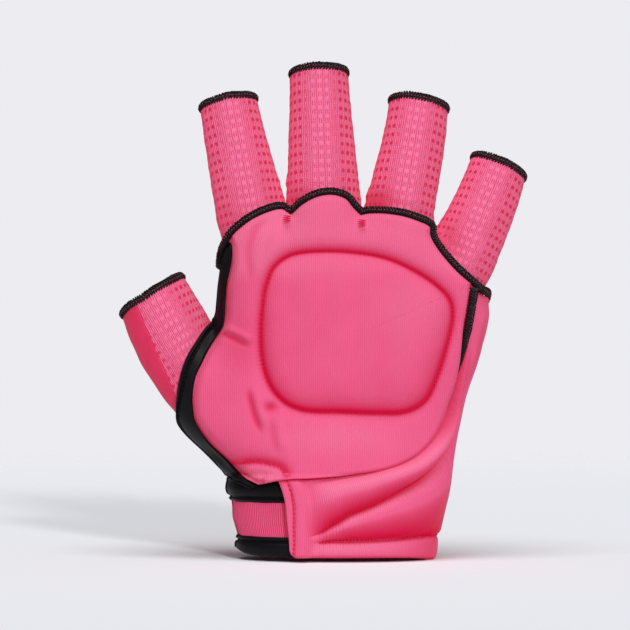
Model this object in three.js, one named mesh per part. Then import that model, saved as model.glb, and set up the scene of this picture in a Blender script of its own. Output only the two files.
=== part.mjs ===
// A field hockey glove for the right hand: a padded back, knitted open-ended finger sleeves, a bound
// thumb edge and a wrist strap. Millimetres, +Z towards the fingertips, -Y towards the back of the hand,
// the thumb at -X. The origin is the centre of the wrist opening, in the plane of the cuff's lower edge.
//
// Every piece is laid on one hand form, a smooth union of a palm and five tapered digits. A piece is the
// space between two levels of the form's distance, so pieces on different levels never meet.
import * as THREE from "three";

// Wall levels in millimetres from the hand form's skin, outwards positive.
const KNIT_WALL = 1.3;
const LAY_GAP = 0.5;
const EDGE_GAP = 0.45;
const BACK = {
  edge: 2.7, field: 4.6, fieldRim: 4.1, pad: 5.9, padRim: 5.5, padRimWide: 4, groove: 3.1,
  grooveHalf: 1.7, edgeRound: 1.6,
};
const PALM_SKIN = { clear: 0.8, wall: 1.5, rings: [0, 0.3, 0.55, 0.72, 0.87, 1] };
const BOUND = { clear: 0.25, wall: 2.1, columns: 4 };
const OVERLOCK = { clear: 0.35, radius: 1.6, sides: 6, samples: 84 };
const SEAM_CORD = { top: 1.1, bottom: 0.45 };
const STRAP = {
  thickness: 4.2, edge: 3.0, foot: 2.4, footHigh: 1.2, hem: 3.4, hemToFold: 3.1, groove: 1.6,
  grooveHalf: 1.3, swell: 0.5, roundTop: 1.4,
};
const ELASTIC = {
  wall: 1.3, bindingWall: 2.1, rim: 1.0, rimHigh: 1.2, low: 1.9, middle: 8.5, high: 22.2, top: 30.6,
};
// The rolled hem of an open tip: its section, from the outer lower rim over the end to the inner one.
const HEM = { height: 3.4, gap: 0.35 };
const HEM_SECTION = [
  { down: 3.4, level: 0.1 }, { down: 2.7, level: 0.9 }, { down: 0.8, level: 0.9 }, { down: 0, level: 0 },
  { down: 0, level: -1.2 }, { down: 0.8, level: -2.1 }, { down: 2.7, level: -2.1 },
  { down: 3.4, level: -1.4 },
];
// Where the elastic's upper binding runs under the padded back, the back stands clear of it.
const BACK_LIFT = { high: 33.6, low: 31.2, lift: 2.9, outer: -41, inner: -37 };

// The palm of the form, one row a height: half-section reaches to the left, right, back of the hand and
// palm side, and the power of the superellipse.
const PALM = [
  { z: 0, left: -34.8, right: 33.4, dorsal: 22.0, palmar: 21.0, power: 2.3 },
  { z: 8, left: -35.6, right: 34.2, dorsal: 22.0, palmar: 21.0, power: 2.3 },
  { z: 15, left: -37.3, right: 35.7, dorsal: 22.0, palmar: 21.0, power: 2.3 },
  { z: 23, left: -38.3, right: 37.2, dorsal: 21.7, palmar: 20.6, power: 2.3 },
  { z: 31, left: -39.4, right: 38.4, dorsal: 21.0, palmar: 20.0, power: 2.35 },
  { z: 38, left: -42.0, right: 39.3, dorsal: 20.0, palmar: 19.6, power: 2.35 },
  { z: 46, left: -51.3, right: 40.5, dorsal: 19.0, palmar: 19.2, power: 2.3 },
  { z: 53, left: -56.0, right: 42.0, dorsal: 18.2, palmar: 18.8, power: 2.3 },
  { z: 61, left: -56.0, right: 44.2, dorsal: 17.4, palmar: 18.0, power: 2.35 },
  { z: 76, left: -50.0, right: 49.3, dorsal: 16.6, palmar: 16.0, power: 2.5 },
  { z: 91, left: -44.2, right: 52.5, dorsal: 16.2, palmar: 14.6, power: 2.6 },
  { z: 106, left: -42.6, right: 53.2, dorsal: 16.0, palmar: 13.6, power: 2.6 },
  { z: 118, left: -40.6, right: 46.0, dorsal: 15.0, palmar: 12.0, power: 2.6 },
  { z: 125, left: -40.0, right: 39.0, dorsal: 12.8, palmar: 10.0, power: 2.6 },
  { z: 131, left: -34.0, right: 32.0, dorsal: 9.0, palmar: 7.0, power: 2.4 },
];
const PALM_TOP = 131;

// The digits. root and tip are the ends of the straight chord of the axis, bow lifts its middle towards
// the back of the hand. widths are half-widths along the chord. startLeft and startRight say how far up
// the chord the sleeve begins on its two sides, and rows how many bands of faces it has.
const DIGITS = {
  index: {
    root: [-30.8, -2.5, 118.6], tip: [-41.8, 7.0, 175.9], bow: 1.2, blend: 4, startLeft: -4, startRight: 8,
    rows: 7,
    widths: [
      { at: 0.0, left: 11.0, right: 14.2, dorsal: 12.0, palmar: 11.0 },
      { at: 0.15, left: 12.9, right: 13.8, dorsal: 11.8, palmar: 10.9 },
      { at: 0.4, left: 12.8, right: 12.9, dorsal: 11.3, palmar: 10.8 },
      { at: 0.75, left: 12.1, right: 11.2, dorsal: 10.6, palmar: 10.2 },
      { at: 1.0, left: 11.4, right: 10.4, dorsal: 10.2, palmar: 9.8 },
    ],
  },
  middle: {
    root: [-5.3, -4.0, 119.7], tip: [-7.2, 6.0, 187.4], bow: 1.5, blend: 4, startLeft: 7, startRight: 7,
    rows: 8,
    widths: [
      { at: 0.0, left: 14.0, right: 14.4, dorsal: 12.4, palmar: 11.2 },
      { at: 0.3, left: 13.5, right: 14.0, dorsal: 11.9, palmar: 11.0 },
      { at: 0.7, left: 12.0, right: 12.1, dorsal: 11.0, palmar: 10.5 },
      { at: 1.0, left: 11.0, right: 10.8, dorsal: 10.4, palmar: 10.0 },
    ],
  },
  ring: {
    root: [21.2, -3.5, 119.3], tip: [30.9, 7.0, 175.4], bow: 1.3, blend: 4, startLeft: 7, startRight: 4,
    rows: 7,
    widths: [
      { at: 0.0, left: 13.9, right: 13.0, dorsal: 12.2, palmar: 11.0 },
      { at: 0.35, left: 12.8, right: 13.0, dorsal: 11.6, palmar: 10.8 },
      { at: 0.75, left: 11.0, right: 12.7, dorsal: 10.8, palmar: 10.3 },
      { at: 1.0, left: 10.9, right: 11.6, dorsal: 10.3, palmar: 9.9 },
    ],
  },
  little: {
    root: [43.0, -1.0, 106.2], tip: [62.2, 8.5, 151.4], bow: 1.0, blend: 4, startLeft: 9, startRight: -4,
    rows: 7,
    widths: [
      { at: 0.0, left: 13.4, right: 12.2, dorsal: 12.4, palmar: 11.4 },
      { at: 0.15, left: 13.0, right: 13.5, dorsal: 12.0, palmar: 11.2 },
      { at: 0.35, left: 12.3, right: 13.4, dorsal: 11.4, palmar: 10.8 },
      { at: 0.7, left: 11.0, right: 12.8, dorsal: 10.4, palmar: 10.2 },
      { at: 1.0, left: 10.8, right: 11.0, dorsal: 9.8, palmar: 9.6 },
    ],
  },
  thumb: {
    root: [-40.0, 2.5, 52.0], tip: [-71.9, 6.0, 102.0], bow: 0.8, blend: 3.5, startLeft: 0,
    startRight: 34.5, rows: 7,
    widths: [
      { at: -0.35, left: 3.0, right: 3.0, dorsal: 4.0, palmar: 4.0 },
      { at: 0.0, left: 12.8, right: 12.0, dorsal: 11.5, palmar: 13.0 },
      { at: 0.25, left: 16.6, right: 13.2, dorsal: 13.4, palmar: 14.3 },
      { at: 0.55, left: 17.8, right: 13.4, dorsal: 13.0, palmar: 13.6 },
      { at: 0.78, left: 16.6, right: 13.8, dorsal: 12.4, palmar: 12.6 },
      { at: 1.0, left: 13.8, right: 13.9, dorsal: 12.0, palmar: 11.8 },
    ],
  },
};
const FINGERS = ["index", "middle", "ring", "little"];

// Outlines seen from the front, x across and z up. A corner is a sharp point of the outline.
const PANEL_CENTRE = { x: 6.5, z: 85.5 };
// The overlocked seam along the finger bases, from the index finger's side to the little finger's side.
const KNUCKLE_SEAM = [
  { x: -43.4, z: 120.6 }, { x: -40.3, z: 124.8 }, { x: -33.4, z: 130.1 }, { x: -26.6, z: 133.3 },
  { x: -21.0, z: 134.4 }, { x: -17.9, z: 132.2, corner: true }, { x: -14.4, z: 135.6 },
  { x: -8.7, z: 138.7 }, { x: -2.3, z: 139.7 }, { x: 3.4, z: 138.0 }, { x: 6.6, z: 134.4 },
  { x: 8.9, z: 132.0, corner: true }, { x: 11.4, z: 132.7 }, { x: 17.9, z: 132.6 }, { x: 25.5, z: 131.4 },
  { x: 33.1, z: 128.8 }, { x: 35.9, z: 127.0, corner: true }, { x: 36.0, z: 123.4 },
  { x: 38.6, z: 118.8 }, { x: 42.8, z: 113.5 }, { x: 47.1, z: 109.1 }, { x: 51.4, z: 105.5 },
  { x: 54.6, z: 102.6 },
];
const PANEL_RIGHT_AND_BOTTOM = [
  { x: 49.6, z: 103.2, corner: true }, { x: 49.0, z: 99.0 }, { x: 48.1, z: 93.8 }, { x: 47.2, z: 88.2 },
  { x: 46.6, z: 80.7 }, { x: 45.8, z: 73.6 }, { x: 44.2, z: 66.6 }, { x: 41.8, z: 59.8 },
  { x: 39.2, z: 52.6 }, { x: 34.6, z: 44.9 }, { x: 28.0, z: 39.2 }, { x: 18.6, z: 35.4 },
  { x: 4.6, z: 33.1 }, { x: -10.0, z: 31.9 }, { x: -19.6, z: 31.4 },
];
const PANEL_LEFT = [
  { x: -30.2, z: 29.0, corner: true }, { x: -35.2, z: 32.3 }, { x: -41.3, z: 38.4 },
  { x: -48.0, z: 45.1 }, { x: -53.0, z: 52.4 }, { x: -54.3, z: 57.2 }, { x: -54.4, z: 62.4 },
  { x: -53.3, z: 69.2 }, { x: -50.7, z: 75.1 }, { x: -48.3, z: 80.0 }, { x: -45.4, z: 84.8 },
  { x: -42.9, z: 88.9 }, { x: -42.1, z: 93.0 }, { x: -42.0, z: 98.3 }, { x: -41.6, z: 104.2 },
  { x: -40.1, z: 110.5 }, { x: -39.8, z: 115.3 }, { x: -40.0, z: 121.0, corner: true },
];
const PAD = [
  { x: -28.2, z: 98.8 }, { x: -29.2, z: 87.4 }, { x: -28.7, z: 76.0 }, { x: -25.8, z: 66.5 },
  { x: -20.1, z: 60.0 }, { x: -12.5, z: 57.0 }, { x: 0.8, z: 56.4 }, { x: 14.1, z: 55.9 },
  { x: 25.5, z: 56.4 }, { x: 33.1, z: 60.8 }, { x: 37.6, z: 70.3 }, { x: 41.0, z: 81.7 },
  { x: 43.1, z: 92.4 }, { x: 42.0, z: 98.8 }, { x: 37.2, z: 104.1 }, { x: 29.3, z: 109.4 },
  { x: 17.9, z: 114.4 }, { x: 4.6, z: 116.7 }, { x: -8.7, z: 117.0 }, { x: -18.2, z: 115.5 },
  { x: -24.2, z: 111.0 }, { x: -27.0, z: 104.5 },
];
const PALM_CENTRE = { x: -2, z: 80 };
const PALM_OUTLINE = [
  { x: -38.6, z: 116.6, corner: true }, { x: -30.0, z: 124.4 }, { x: -19.5, z: 128.0 },
  { x: -6.0, z: 129.6 }, { x: 8.0, z: 129.0 }, { x: 20.0, z: 126.8 }, { x: 32.0, z: 122.2 },
  { x: 42.0, z: 113.0 }, { x: 48.6, z: 102.0 }, { x: 50.0, z: 96.5, corner: true }, { x: 47.2, z: 87.0 },
  { x: 42.9, z: 72.0 }, { x: 37.9, z: 56.0 }, { x: 33.6, z: 43.0 }, { x: 30.4, z: 34.6 },
  { x: 27.0, z: 31.9, corner: true }, { x: 12.0, z: 31.6 }, { x: 0.0, z: 31.6 }, { x: -12.0, z: 31.6 },
  { x: -26.0, z: 31.9 }, { x: -37.5, z: 33.0, corner: true }, { x: -42.4, z: 38.4 },
  { x: -47.8, z: 43.6 }, { x: -53.0, z: 49.4 }, { x: -57.6, z: 56.0 }, { x: -59.2, z: 62.4 },
  { x: -57.0, z: 70.0 }, { x: -52.2, z: 77.6 }, { x: -47.2, z: 84.0 }, { x: -43.2, z: 90.6 },
  { x: -41.2, z: 98.0 }, { x: -40.0, z: 108.0 },
];

// The black binding beside the thumb, one row a rung: its inner end, its outer end, and how far the rung
// turns round the edge of the hand, in degrees from facing front. A turn of 0 lies flat on the thumb's
// root.
const BINDING = [
  { xi: -40.6, zi: 116.0, xo: -44.0, zo: 114.6, turn: 125 },
  { xi: -40.4, zi: 113.4, xo: -44.0, zo: 112.4, turn: 130 },
  { xi: -40.6, zi: 110.5, xo: -44.0, zo: 110.5, turn: 132 },
  { xi: -42.1, zi: 104.2, xo: -45.2, zo: 104.0, turn: 132 },
  { xi: -42.6, zi: 98.3, xo: -45.9, zo: 98.6, turn: 125 },
  { xi: -42.7, zi: 93.0, xo: -46.6, zo: 94.6, turn: 105 },
  { xi: -43.4, zi: 88.9, xo: -47.8, zo: 91.2, turn: 12 },
  { xi: -45.9, zi: 84.8, xo: -50.6, zo: 88.2, turn: 0 },
  { xi: -48.8, zi: 80.0, xo: -53.8, zo: 83.4, turn: 0 },
  { xi: -51.2, zi: 75.1, xo: -57.4, zo: 77.3, turn: 0 },
  { xi: -53.8, zi: 69.4, xo: -59.8, zo: 70.6, turn: 0 },
  { xi: -54.9, zi: 62.4, xo: -61.4, zo: 61.8, turn: 0 },
  { xi: -54.7, zi: 57.0, xo: -60.9, zo: 55.4, turn: 20 },
  { xi: -53.5, zi: 52.0, xo: -58.4, zo: 50.0, turn: 80 },
  { xi: -48.5, zi: 44.7, xo: -51.9, zo: 42.6, turn: 120 },
  { xi: -41.8, zi: 38.0, xo: -43.6, zo: 36.6, turn: 120 },
  { xi: -37.4, zi: 33.6, xo: -39.8, zo: 32.6, turn: 110 },
  { xi: -34.4, zi: 30.9, xo: -37.4, zo: 31.4, turn: 25 },
  { xi: -31.0, zi: 28.6, xo: -33.4, zo: 27.6, turn: 0 },
];
const FULL_TURN = 132;
// Two slanting lines seen from the front, given by two points each: the first ends the thumb's root for
// the binding, which also stops at a height, and the second is the side that the thumb's sleeve keeps to.
const THUMB_END = { up: { x: -48.8, z: 93.8 }, down: { x: -63.8, z: 66.8 } };
const THUMB_END_TOP = { height: 91.7, steepness: 2 };
const THUMB_SIDE = { up: { x: -46.2, z: 92.0 }, down: { x: -33.0, z: 50.0 } };

// The wrist strap and its padded side, one row a column round the wrist, from its free end on the back of
// the hand to the elastic on the palm side. Angles go round the section: -90 the back of the hand, 0 the
// little finger's side. foot is the angle at the cuff's lower edge; x, seen from the front, or angle
// places the upper edge, at the height top. hem and fold are the heights of the two sewn grooves, and
// deep is how much of their depth the column has. low lifts the lower edge, which rounds the free end's
// corner.
const STRAP_COLUMNS = [
  { foot: -118, x: -22.2, top: 30.2, hem: 8.6, fold: 11.0, deep: 0, low: 5.0 },
  { foot: -107, x: -14.9, top: 30.6, hem: 7.4, fold: 9.8, deep: 0, low: 1.6 },
  { foot: -99, x: -8.8, top: 31.1, hem: 7.4, fold: 10.6, deep: 0.6 },
  { foot: -92, x: -3.0, top: 31.6, hem: 7.6, fold: 13.6, deep: 0.95 },
  { foot: -84, x: 4.0, top: 32.3, hem: 7.8, fold: 17.8, deep: 1 },
  { foot: -71, x: 12.4, top: 33.5, hem: 8.0, fold: 21.4, deep: 1 },
  { foot: -56, x: 22.1, top: 35.9, hem: 8.4, fold: 26.2, deep: 1 },
  { foot: -41, x: 29.9, top: 39.6, hem: 8.8, fold: 30.8, deep: 1 },
  { foot: -28, x: 36.3, top: 45.8, hem: 9.0, fold: 36.6, deep: 1 },
  { foot: -17, x: 41.3, top: 53.2, hem: 9.2, fold: 43.2, deep: 0.9 },
  { foot: -9, x: 44.1, top: 62.0, hem: 9.2, fold: 50.6, deep: 0.75 },
  { foot: -4, x: 46.9, top: 71.0, hem: 9.2, fold: 59.0, deep: 0.6 },
  { foot: 0, x: 49.8, top: 82.0, hem: 9.2, fold: 68.0, deep: 0.5 },
  { foot: 4, x: 52.4, top: 97.2, hem: 9.2, fold: 78.0, deep: 0.4 },
  { foot: 8, angle: -6, top: 97.4, hem: 9.2, fold: 83.0, deep: 0.3 },
  { foot: 11, angle: 8, top: 96.6, hem: 9.2, fold: 82.0, deep: 0.2 },
  { foot: 14, angle: 20, top: 94.0, hem: 9.2, fold: 78.0, deep: 0 },
  { foot: 18, angle: 27, top: 86.0, hem: 9.2, fold: 66.0, deep: 0 },
  { foot: 22, angle: 27, top: 71.0, hem: 9.2, fold: 52.0, deep: 0 },
  { foot: 27, angle: 28, top: 55.0, hem: 9.2, fold: 40.0, deep: 0 },
  { foot: 34, angle: 32, top: 41.0, hem: 9.2, fold: 30.0, deep: 0 },
  { foot: 43, angle: 41, top: 31.6, hem: 9.2, fold: 22.0, deep: 0 },
  { foot: 60, angle: 60, top: 30.6, hem: 9.2, fold: 20.0, deep: 0 },
  { foot: 79, angle: 79, top: 30.6, hem: 9.2, fold: 20.0, deep: 0 },
  { foot: 96, angle: 96, top: 30.6, hem: 9.2, fold: 20.0, deep: 0 },
  { foot: 112, angle: 112, top: 30.6, hem: 9.2, fold: 20.0, deep: 0 },
  { foot: 123, angle: 123, top: 30.6, hem: 9.2, fold: 20.0, deep: 0 },
];
const STRAP_FAN = 4;
// How much a column at either end is lifted, so that the elastic lies beneath it.
const STRAP_END_LIFT = { columns: 2, lift: 2.6 };
// The elastic and its two bindings go round the thumb side of the wrist, from under one end of the strap
// to the other.
const ELASTIC_RUN = { front: -16.4, back: -21.5, columns: 15 };

// The seam that closes the finger sleeves to the body, one row a point of the loop. turn is the way that
// the point faces: -90 the back of the hand, 0 the little finger's side, 90 the palm side, 180 the
// thumb's side.
const SEAM_ROUND = [
  { x: 53.4, z: 100.6, turn: -28 }, { x: 50.0, z: 99.8, turn: 18 }, { x: 49.7, z: 102.0, turn: 68 },
  { x: 43.8, z: 114.6, turn: 90 }, { x: 33.2, z: 124.4, turn: 90 }, { x: 20.6, z: 129.0, turn: 90 },
  { x: 8.2, z: 131.3, turn: 90 }, { x: -6.0, z: 131.9, turn: 90 }, { x: -19.8, z: 130.3, turn: 90 },
  { x: -31.0, z: 126.6, turn: 90 }, { x: -36.0, z: 121.8, turn: 125 }, { x: -36.0, z: 119.6, turn: 170 },
  { x: -38.0, z: 119.0, turn: 215 },
];
// The overlocked edge that shows in the slit between the back and the side of the strap.
const SLIT_SEAM = [
  { x: 51.4, z: 98.6 }, { x: 50.3, z: 93.0 }, { x: 49.2, z: 87.4 }, { x: 48.3, z: 81.7 },
  { x: 47.3, z: 76.5 }, { x: 46.2, z: 71.5 },
];
const SLIT_LEVEL = 1.9;

// The thumb's sleeve is half knit and half smooth panel. tip and root place the seam between them on the
// back of the thumb, as shares of the half-width from the middle (-1 is the outer side). under is how many
// degrees the knit turns beneath the inner side, and gap is half the seam's width in degrees.
const THUMB_SEAM = { tip: -0.54, root: -0.93, under: 25, gap: 2 };
const THUMB_COLUMNS = { knit: 10, smooth: 8 };

// How finely the shapes are sampled.
const AROUND = 18;
const PANEL_SAMPLES = 72;
const PALM_SAMPLES = 56;
const RADIUS_SAMPLES = 240;
const RAY = { step: 1.2, far: 90 };
const HALVINGS = 20;
const WELDS_PER_MM = 1000;

const toRadians = THREE.MathUtils.degToRad;
const mix = THREE.MathUtils.lerp;
const vector = (x, y, z) => new THREE.Vector3(x, y, z);

// A column of a table at a place along it, by a cubic through its rows.
function read(table, key, place, at) {
  const last = table.length - 1;
  if (at <= table[0][place]) return table[0][key];
  if (at >= table[last][place]) return table[last][key];
  let i = 0;
  while (at > table[i + 1][place]) i += 1;
  const slope = (k) => {
    const a = Math.max(k - 1, 0);
    const b = Math.min(k + 1, last);
    return (table[b][key] - table[a][key]) / (table[b][place] - table[a][place]);
  };
  const span = table[i + 1][place] - table[i][place];
  const t = (at - table[i][place]) / span;
  const t2 = t * t;
  const t3 = t2 * t;
  return (
    (2 * t3 - 3 * t2 + 1) * table[i][key] +
    (t3 - 2 * t2 + t) * span * slope(i) +
    (3 * t2 - 2 * t3) * table[i + 1][key] +
    (t3 - t2) * span * slope(i + 1)
  );
}

// Signed distance to an oval whose four half-widths differ, to first order.
function ovalDistance(u, v, left, right, low, high, power) {
  const a = u < 0 ? left : right;
  const b = v < 0 ? low : high;
  const pu = Math.abs(u) / a;
  const pv = Math.abs(v) / b;
  const g = (pu ** power + pv ** power) ** (1 / power);
  if (g < 1e-6) return -Math.min(a, b);
  const scale = g ** (1 - power);
  const du = (pu ** (power - 1) / a) * scale;
  const dv = (pv ** (power - 1) / b) * scale;
  return (g - 1) / Math.hypot(du, dv);
}

function palmRow(z) {
  const row = {};
  for (const key of ["left", "right", "dorsal", "palmar", "power"]) row[key] = read(PALM, key, "z", z);
  row.centre = (row.left + row.right) / 2;
  return row;
}

function palmDistance(p) {
  const row = palmRow(p.z);
  const half = (row.right - row.left) / 2;
  const side = ovalDistance(p.x - row.centre, p.y, half, half, row.dorsal, row.palmar, row.power);
  return Math.max(side, p.z - PALM_TOP);
}

for (const digit of Object.values(DIGITS)) {
  digit.from = vector(...digit.root);
  digit.to = vector(...digit.tip);
  digit.flat = vector(digit.to.x - digit.from.x, 0, digit.to.z - digit.from.z);
  digit.length = digit.flat.length();
  digit.along = digit.flat.clone().normalize();
  digit.across = vector(digit.along.z, 0, -digit.along.x);
}

// The middle of a digit at s millimetres up its chord.
function axisPoint(digit, s) {
  const t = s / digit.length;
  const point = digit.from.clone().addScaledVector(digit.along, s);
  point.y = mix(digit.from.y, digit.to.y, t) - digit.bow * 4 * t * (1 - t);
  return point;
}

function axisTangent(digit, s) {
  return axisPoint(digit, s + 0.5).sub(axisPoint(digit, s - 0.5)).normalize();
}

function digitDistance(digit, p) {
  const s = p.clone().sub(digit.from).dot(digit.along);
  const centre = axisPoint(digit, s);
  const at = s / digit.length;
  const w = (key) => read(digit.widths, key, "at", at);
  const u = p.clone().sub(centre).dot(digit.across);
  return ovalDistance(u, p.y - centre.y, w("left"), w("right"), w("dorsal"), w("palmar"), 2);
}

function smoothUnion(a, b, blend) {
  const h = Math.max(blend - Math.abs(a - b), 0) / blend;
  return Math.min(a, b) - (h * h * blend) / 4;
}

function union(p, thumb) {
  let d = smoothUnion(palmDistance(p), thumb, DIGITS.thumb.blend);
  for (const name of FINGERS) d = smoothUnion(d, digitDistance(DIGITS[name], p), DIGITS[name].blend);
  return d;
}

function form(p) {
  return union(p, digitDistance(DIGITS.thumb, p));
}

// The distance to the left of a line that is seen from the front.
function leftOf({ up, down }, p) {
  const across = up.x - down.x;
  const rise = up.z - down.z;
  return ((p.z - up.z) * across - (p.x - up.x) * rise) / Math.hypot(across, rise);
}

// The form with the thumb cut off at the line of its binding.
function rootForm(p) {
  const end = Math.max(leftOf(THUMB_END, p), THUMB_END_TOP.steepness * (p.z - THUMB_END_TOP.height));
  return union(p, Math.max(digitDistance(DIGITS.thumb, p), end));
}

// The form seen from inside one digit: a wall halfway to each neighbour parts the sleeves.
function digitForm(name) {
  if (name === "thumb") return (p) => Math.max(form(p), -leftOf(THUMB_SIDE, p));
  const at = FINGERS.indexOf(name);
  const neighbours = [FINGERS[at - 1], FINGERS[at + 1]].filter((other) => other);
  return (p) => {
    let d = form(p);
    const own = digitDistance(DIGITS[name], p);
    for (const other of neighbours) d = Math.max(d, (own - digitDistance(DIGITS[other], p) + EDGE_GAP) / 2);
    return d;
  };
}

// Where a ray from inside first reaches a level of a field.
function reach(field, origin, direction, level) {
  const at = (t) => field(origin.clone().addScaledVector(direction, t));
  let far = 0;
  while (far < RAY.far && at(far) < level) far += RAY.step;
  let near = Math.max(far - RAY.step, 0);
  for (let i = 0; i < HALVINGS; i += 1) {
    const half = (near + far) / 2;
    if (at(half) < level) near = half;
    else far = half;
  }
  return origin.clone().addScaledVector(direction, far);
}

// A ray across the hand: turn -90 looks out of the back of the hand, 0 at the little finger's side.
function onHand(x, z, turn, level, field = form) {
  const a = toRadians(turn);
  return reach(field, vector(x, 0, z), vector(Math.cos(a), Math.sin(a), 0), level);
}

// A ray from the flat middle of the hand's section towards a place of its outline.
function onSection(angle, z, level) {
  const row = palmRow(z);
  const a = toRadians(angle);
  const c = Math.cos(a);
  const s = Math.sin(a);
  const half = (row.right - row.left) / 2;
  const depth = s < 0 ? row.dorsal : row.palmar;
  const x = half * Math.sign(c) * Math.abs(c) ** (2 / row.power);
  const y = depth * Math.sign(s) * Math.abs(s) ** (2 / row.power);
  const flat = Math.max(half - depth, 0);
  const from = THREE.MathUtils.clamp(x, -flat, flat);
  return reach(form, vector(row.centre + from, 0, z), vector(x - from, y, 0).normalize(), level);
}

// The section angle whose point lies at x, on the back of the hand ("front") or the palm side ("back").
function angleAt(side, x, z, level) {
  const sign = side === "front" ? -1 : 1;
  let low = 0;
  let high = 180;
  for (let i = 0; i < HALVINGS; i += 1) {
    const half = (low + high) / 2;
    if (onSection(sign * half, z, level).x > x) low = half;
    else high = half;
  }
  return (sign * (low + high)) / 2;
}

// Closed outlines: curves between their corners, sampled evenly.
function sampled(outline, count) {
  const start = Math.max(outline.findIndex((p) => p.corner), 0);
  const turned = [...outline.slice(start), ...outline.slice(0, start)];
  const runs = [[turned[0]]];
  for (const p of turned.slice(1)) {
    runs[runs.length - 1].push(p);
    if (p.corner) runs.push([p]);
  }
  runs[runs.length - 1].push(turned[0]);
  const whole = !turned[0].corner;
  const curves = runs.map((run) => {
    const points = run.map((p) => vector(p.x, 0, p.z));
    if (whole) points.pop();
    return new THREE.CatmullRomCurve3(points, whole, "centripetal");
  });
  const total = curves.reduce((sum, curve) => sum + curve.getLength(), 0);
  const out = [];
  for (const curve of curves) {
    const n = Math.max(Math.round((count * curve.getLength()) / total), 1);
    for (let i = 0; i < n; i += 1) out.push(curve.getPointAt(i / n));
  }
  return out;
}

// How far a closed curve lies from a centre, in each direction.
function radiusOf(outline, centre) {
  const table = sampled(outline, RADIUS_SAMPLES).map((p) => ({
    angle: Math.atan2(p.z - centre.z, p.x - centre.x),
    radius: Math.hypot(p.x - centre.x, p.z - centre.z),
  }));
  table.sort((a, b) => a.angle - b.angle);
  const first = table[0];
  const last = table[table.length - 1];
  table.unshift({ angle: last.angle - 2 * Math.PI, radius: last.radius });
  table.push({ angle: first.angle + 2 * Math.PI, radius: first.radius });
  return (angle) => read(table, "radius", "angle", angle);
}

// A closed solid through loops of equally many points. An open run of loops gets flat ends, where point k
// faces point n - 1 - k.
function loft(loops, closed) {
  const n = loops[0].length;
  const keys = new Map();
  const positions = [];
  const indexOf = (p) => {
    const key = [p.x, p.y, p.z].map((value) => Math.round(value * WELDS_PER_MM)).join();
    if (!keys.has(key)) {
      keys.set(key, positions.length / 3);
      positions.push(p.x, p.y, p.z);
    }
    return keys.get(key);
  };
  const ids = loops.map((loop) => loop.map(indexOf));
  const faces = [];
  const face = (a, b, c) => {
    if (a !== b && b !== c && a !== c) faces.push(a, b, c);
  };
  const quad = (a, b, c, d) => {
    face(a, b, c);
    face(a, c, d);
  };
  const count = closed ? ids.length : ids.length - 1;
  for (let i = 0; i < count; i += 1) {
    const here = ids[i];
    const next = ids[(i + 1) % ids.length];
    for (let k = 0; k < n; k += 1) quad(here[k], next[k], next[(k + 1) % n], here[(k + 1) % n]);
  }
  if (!closed) {
    const first = ids[0];
    const last = ids[ids.length - 1];
    for (let k = 0; k < n / 2 - 1; k += 1) {
      quad(first[k], first[k + 1], first[n - 2 - k], first[n - 1 - k]);
      quad(last[n - 1 - k], last[n - 2 - k], last[k + 1], last[k]);
    }
  }
  return outward(positions, faces);
}

function outward(positions, faces) {
  const corner = (i) => vector(positions[3 * i], positions[3 * i + 1], positions[3 * i + 2]);
  let volume = 0;
  for (let i = 0; i < faces.length; i += 3) {
    volume += corner(faces[i]).dot(corner(faces[i + 1]).cross(corner(faces[i + 2])));
  }
  if (volume < 0) faces.reverse();
  const geometry = new THREE.BufferGeometry();
  geometry.setAttribute("position", new THREE.Float32BufferAttribute(positions, 3));
  geometry.setIndex(faces);
  geometry.computeVertexNormals();
  return geometry;
}

// A tube of a varying radius along a path.
function cord(points, radii, sides, closed) {
  const curve = new THREE.CatmullRomCurve3(points, closed, "centripetal");
  const frames = curve.computeFrenetFrames(points.length - (closed ? 0 : 1), closed);
  const loops = points.map((_, i) => {
    const centre = points[i];
    const loop = [];
    for (let k = 0; k < sides; k += 1) {
      const a = (2 * Math.PI * (k + 0.5)) / sides;
      loop.push(
        centre.clone()
          .addScaledVector(frames.normals[i], radii[i] * Math.cos(a))
          .addScaledVector(frames.binormals[i], radii[i] * Math.sin(a)),
      );
    }
    return loop;
  });
  return loft(loops, closed);
}

// A point of a digit's sleeve. theta 0 is the side away from the thumb, -90 the back of the hand.
function onDigit(field, digit, s, theta, level) {
  const tangent = axisTangent(digit, s);
  const deep = vector(0, 0, 0).crossVectors(tangent, digit.across).normalize();
  if (deep.y < 0) deep.negate();
  const a = toRadians(theta);
  const direction = digit.across.clone().multiplyScalar(Math.cos(a)).addScaledVector(deep, Math.sin(a));
  return reach(field, axisPoint(digit, s), direction, level);
}

function sleeveStart(digit, theta) {
  const share = (Math.cos(toRadians(theta)) + 1) / 2;
  return mix(digit.startLeft, digit.startRight, share);
}

// A sleeve, or the part of one between two angles, as a wall from its lower rim to just under the tip's
// hem.
function sleeve(name, angles, closed) {
  const digit = DIGITS[name];
  const { rows } = digit;
  const field = digitForm(name);
  const top = digit.length - HEM.height - HEM.gap;
  const loops = angles.map((angleOf) => {
    const outer = [];
    const inner = [];
    for (let i = 0; i <= rows; i += 1) {
      const share = i / rows;
      const theta = angleOf(share);
      const s = mix(sleeveStart(digit, theta), top, share);
      outer.push(onDigit(field, digit, s, theta, 0));
      inner.push(onDigit(field, digit, s, theta, -KNIT_WALL));
    }
    return [...outer, ...inner.reverse()];
  });
  return loft(loops, closed);
}

function fingerSleeve(name) {
  const angles = Array.from({ length: AROUND }, (_, i) => () => (360 * i) / AROUND);
  return sleeve(name, angles, true);
}

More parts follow.
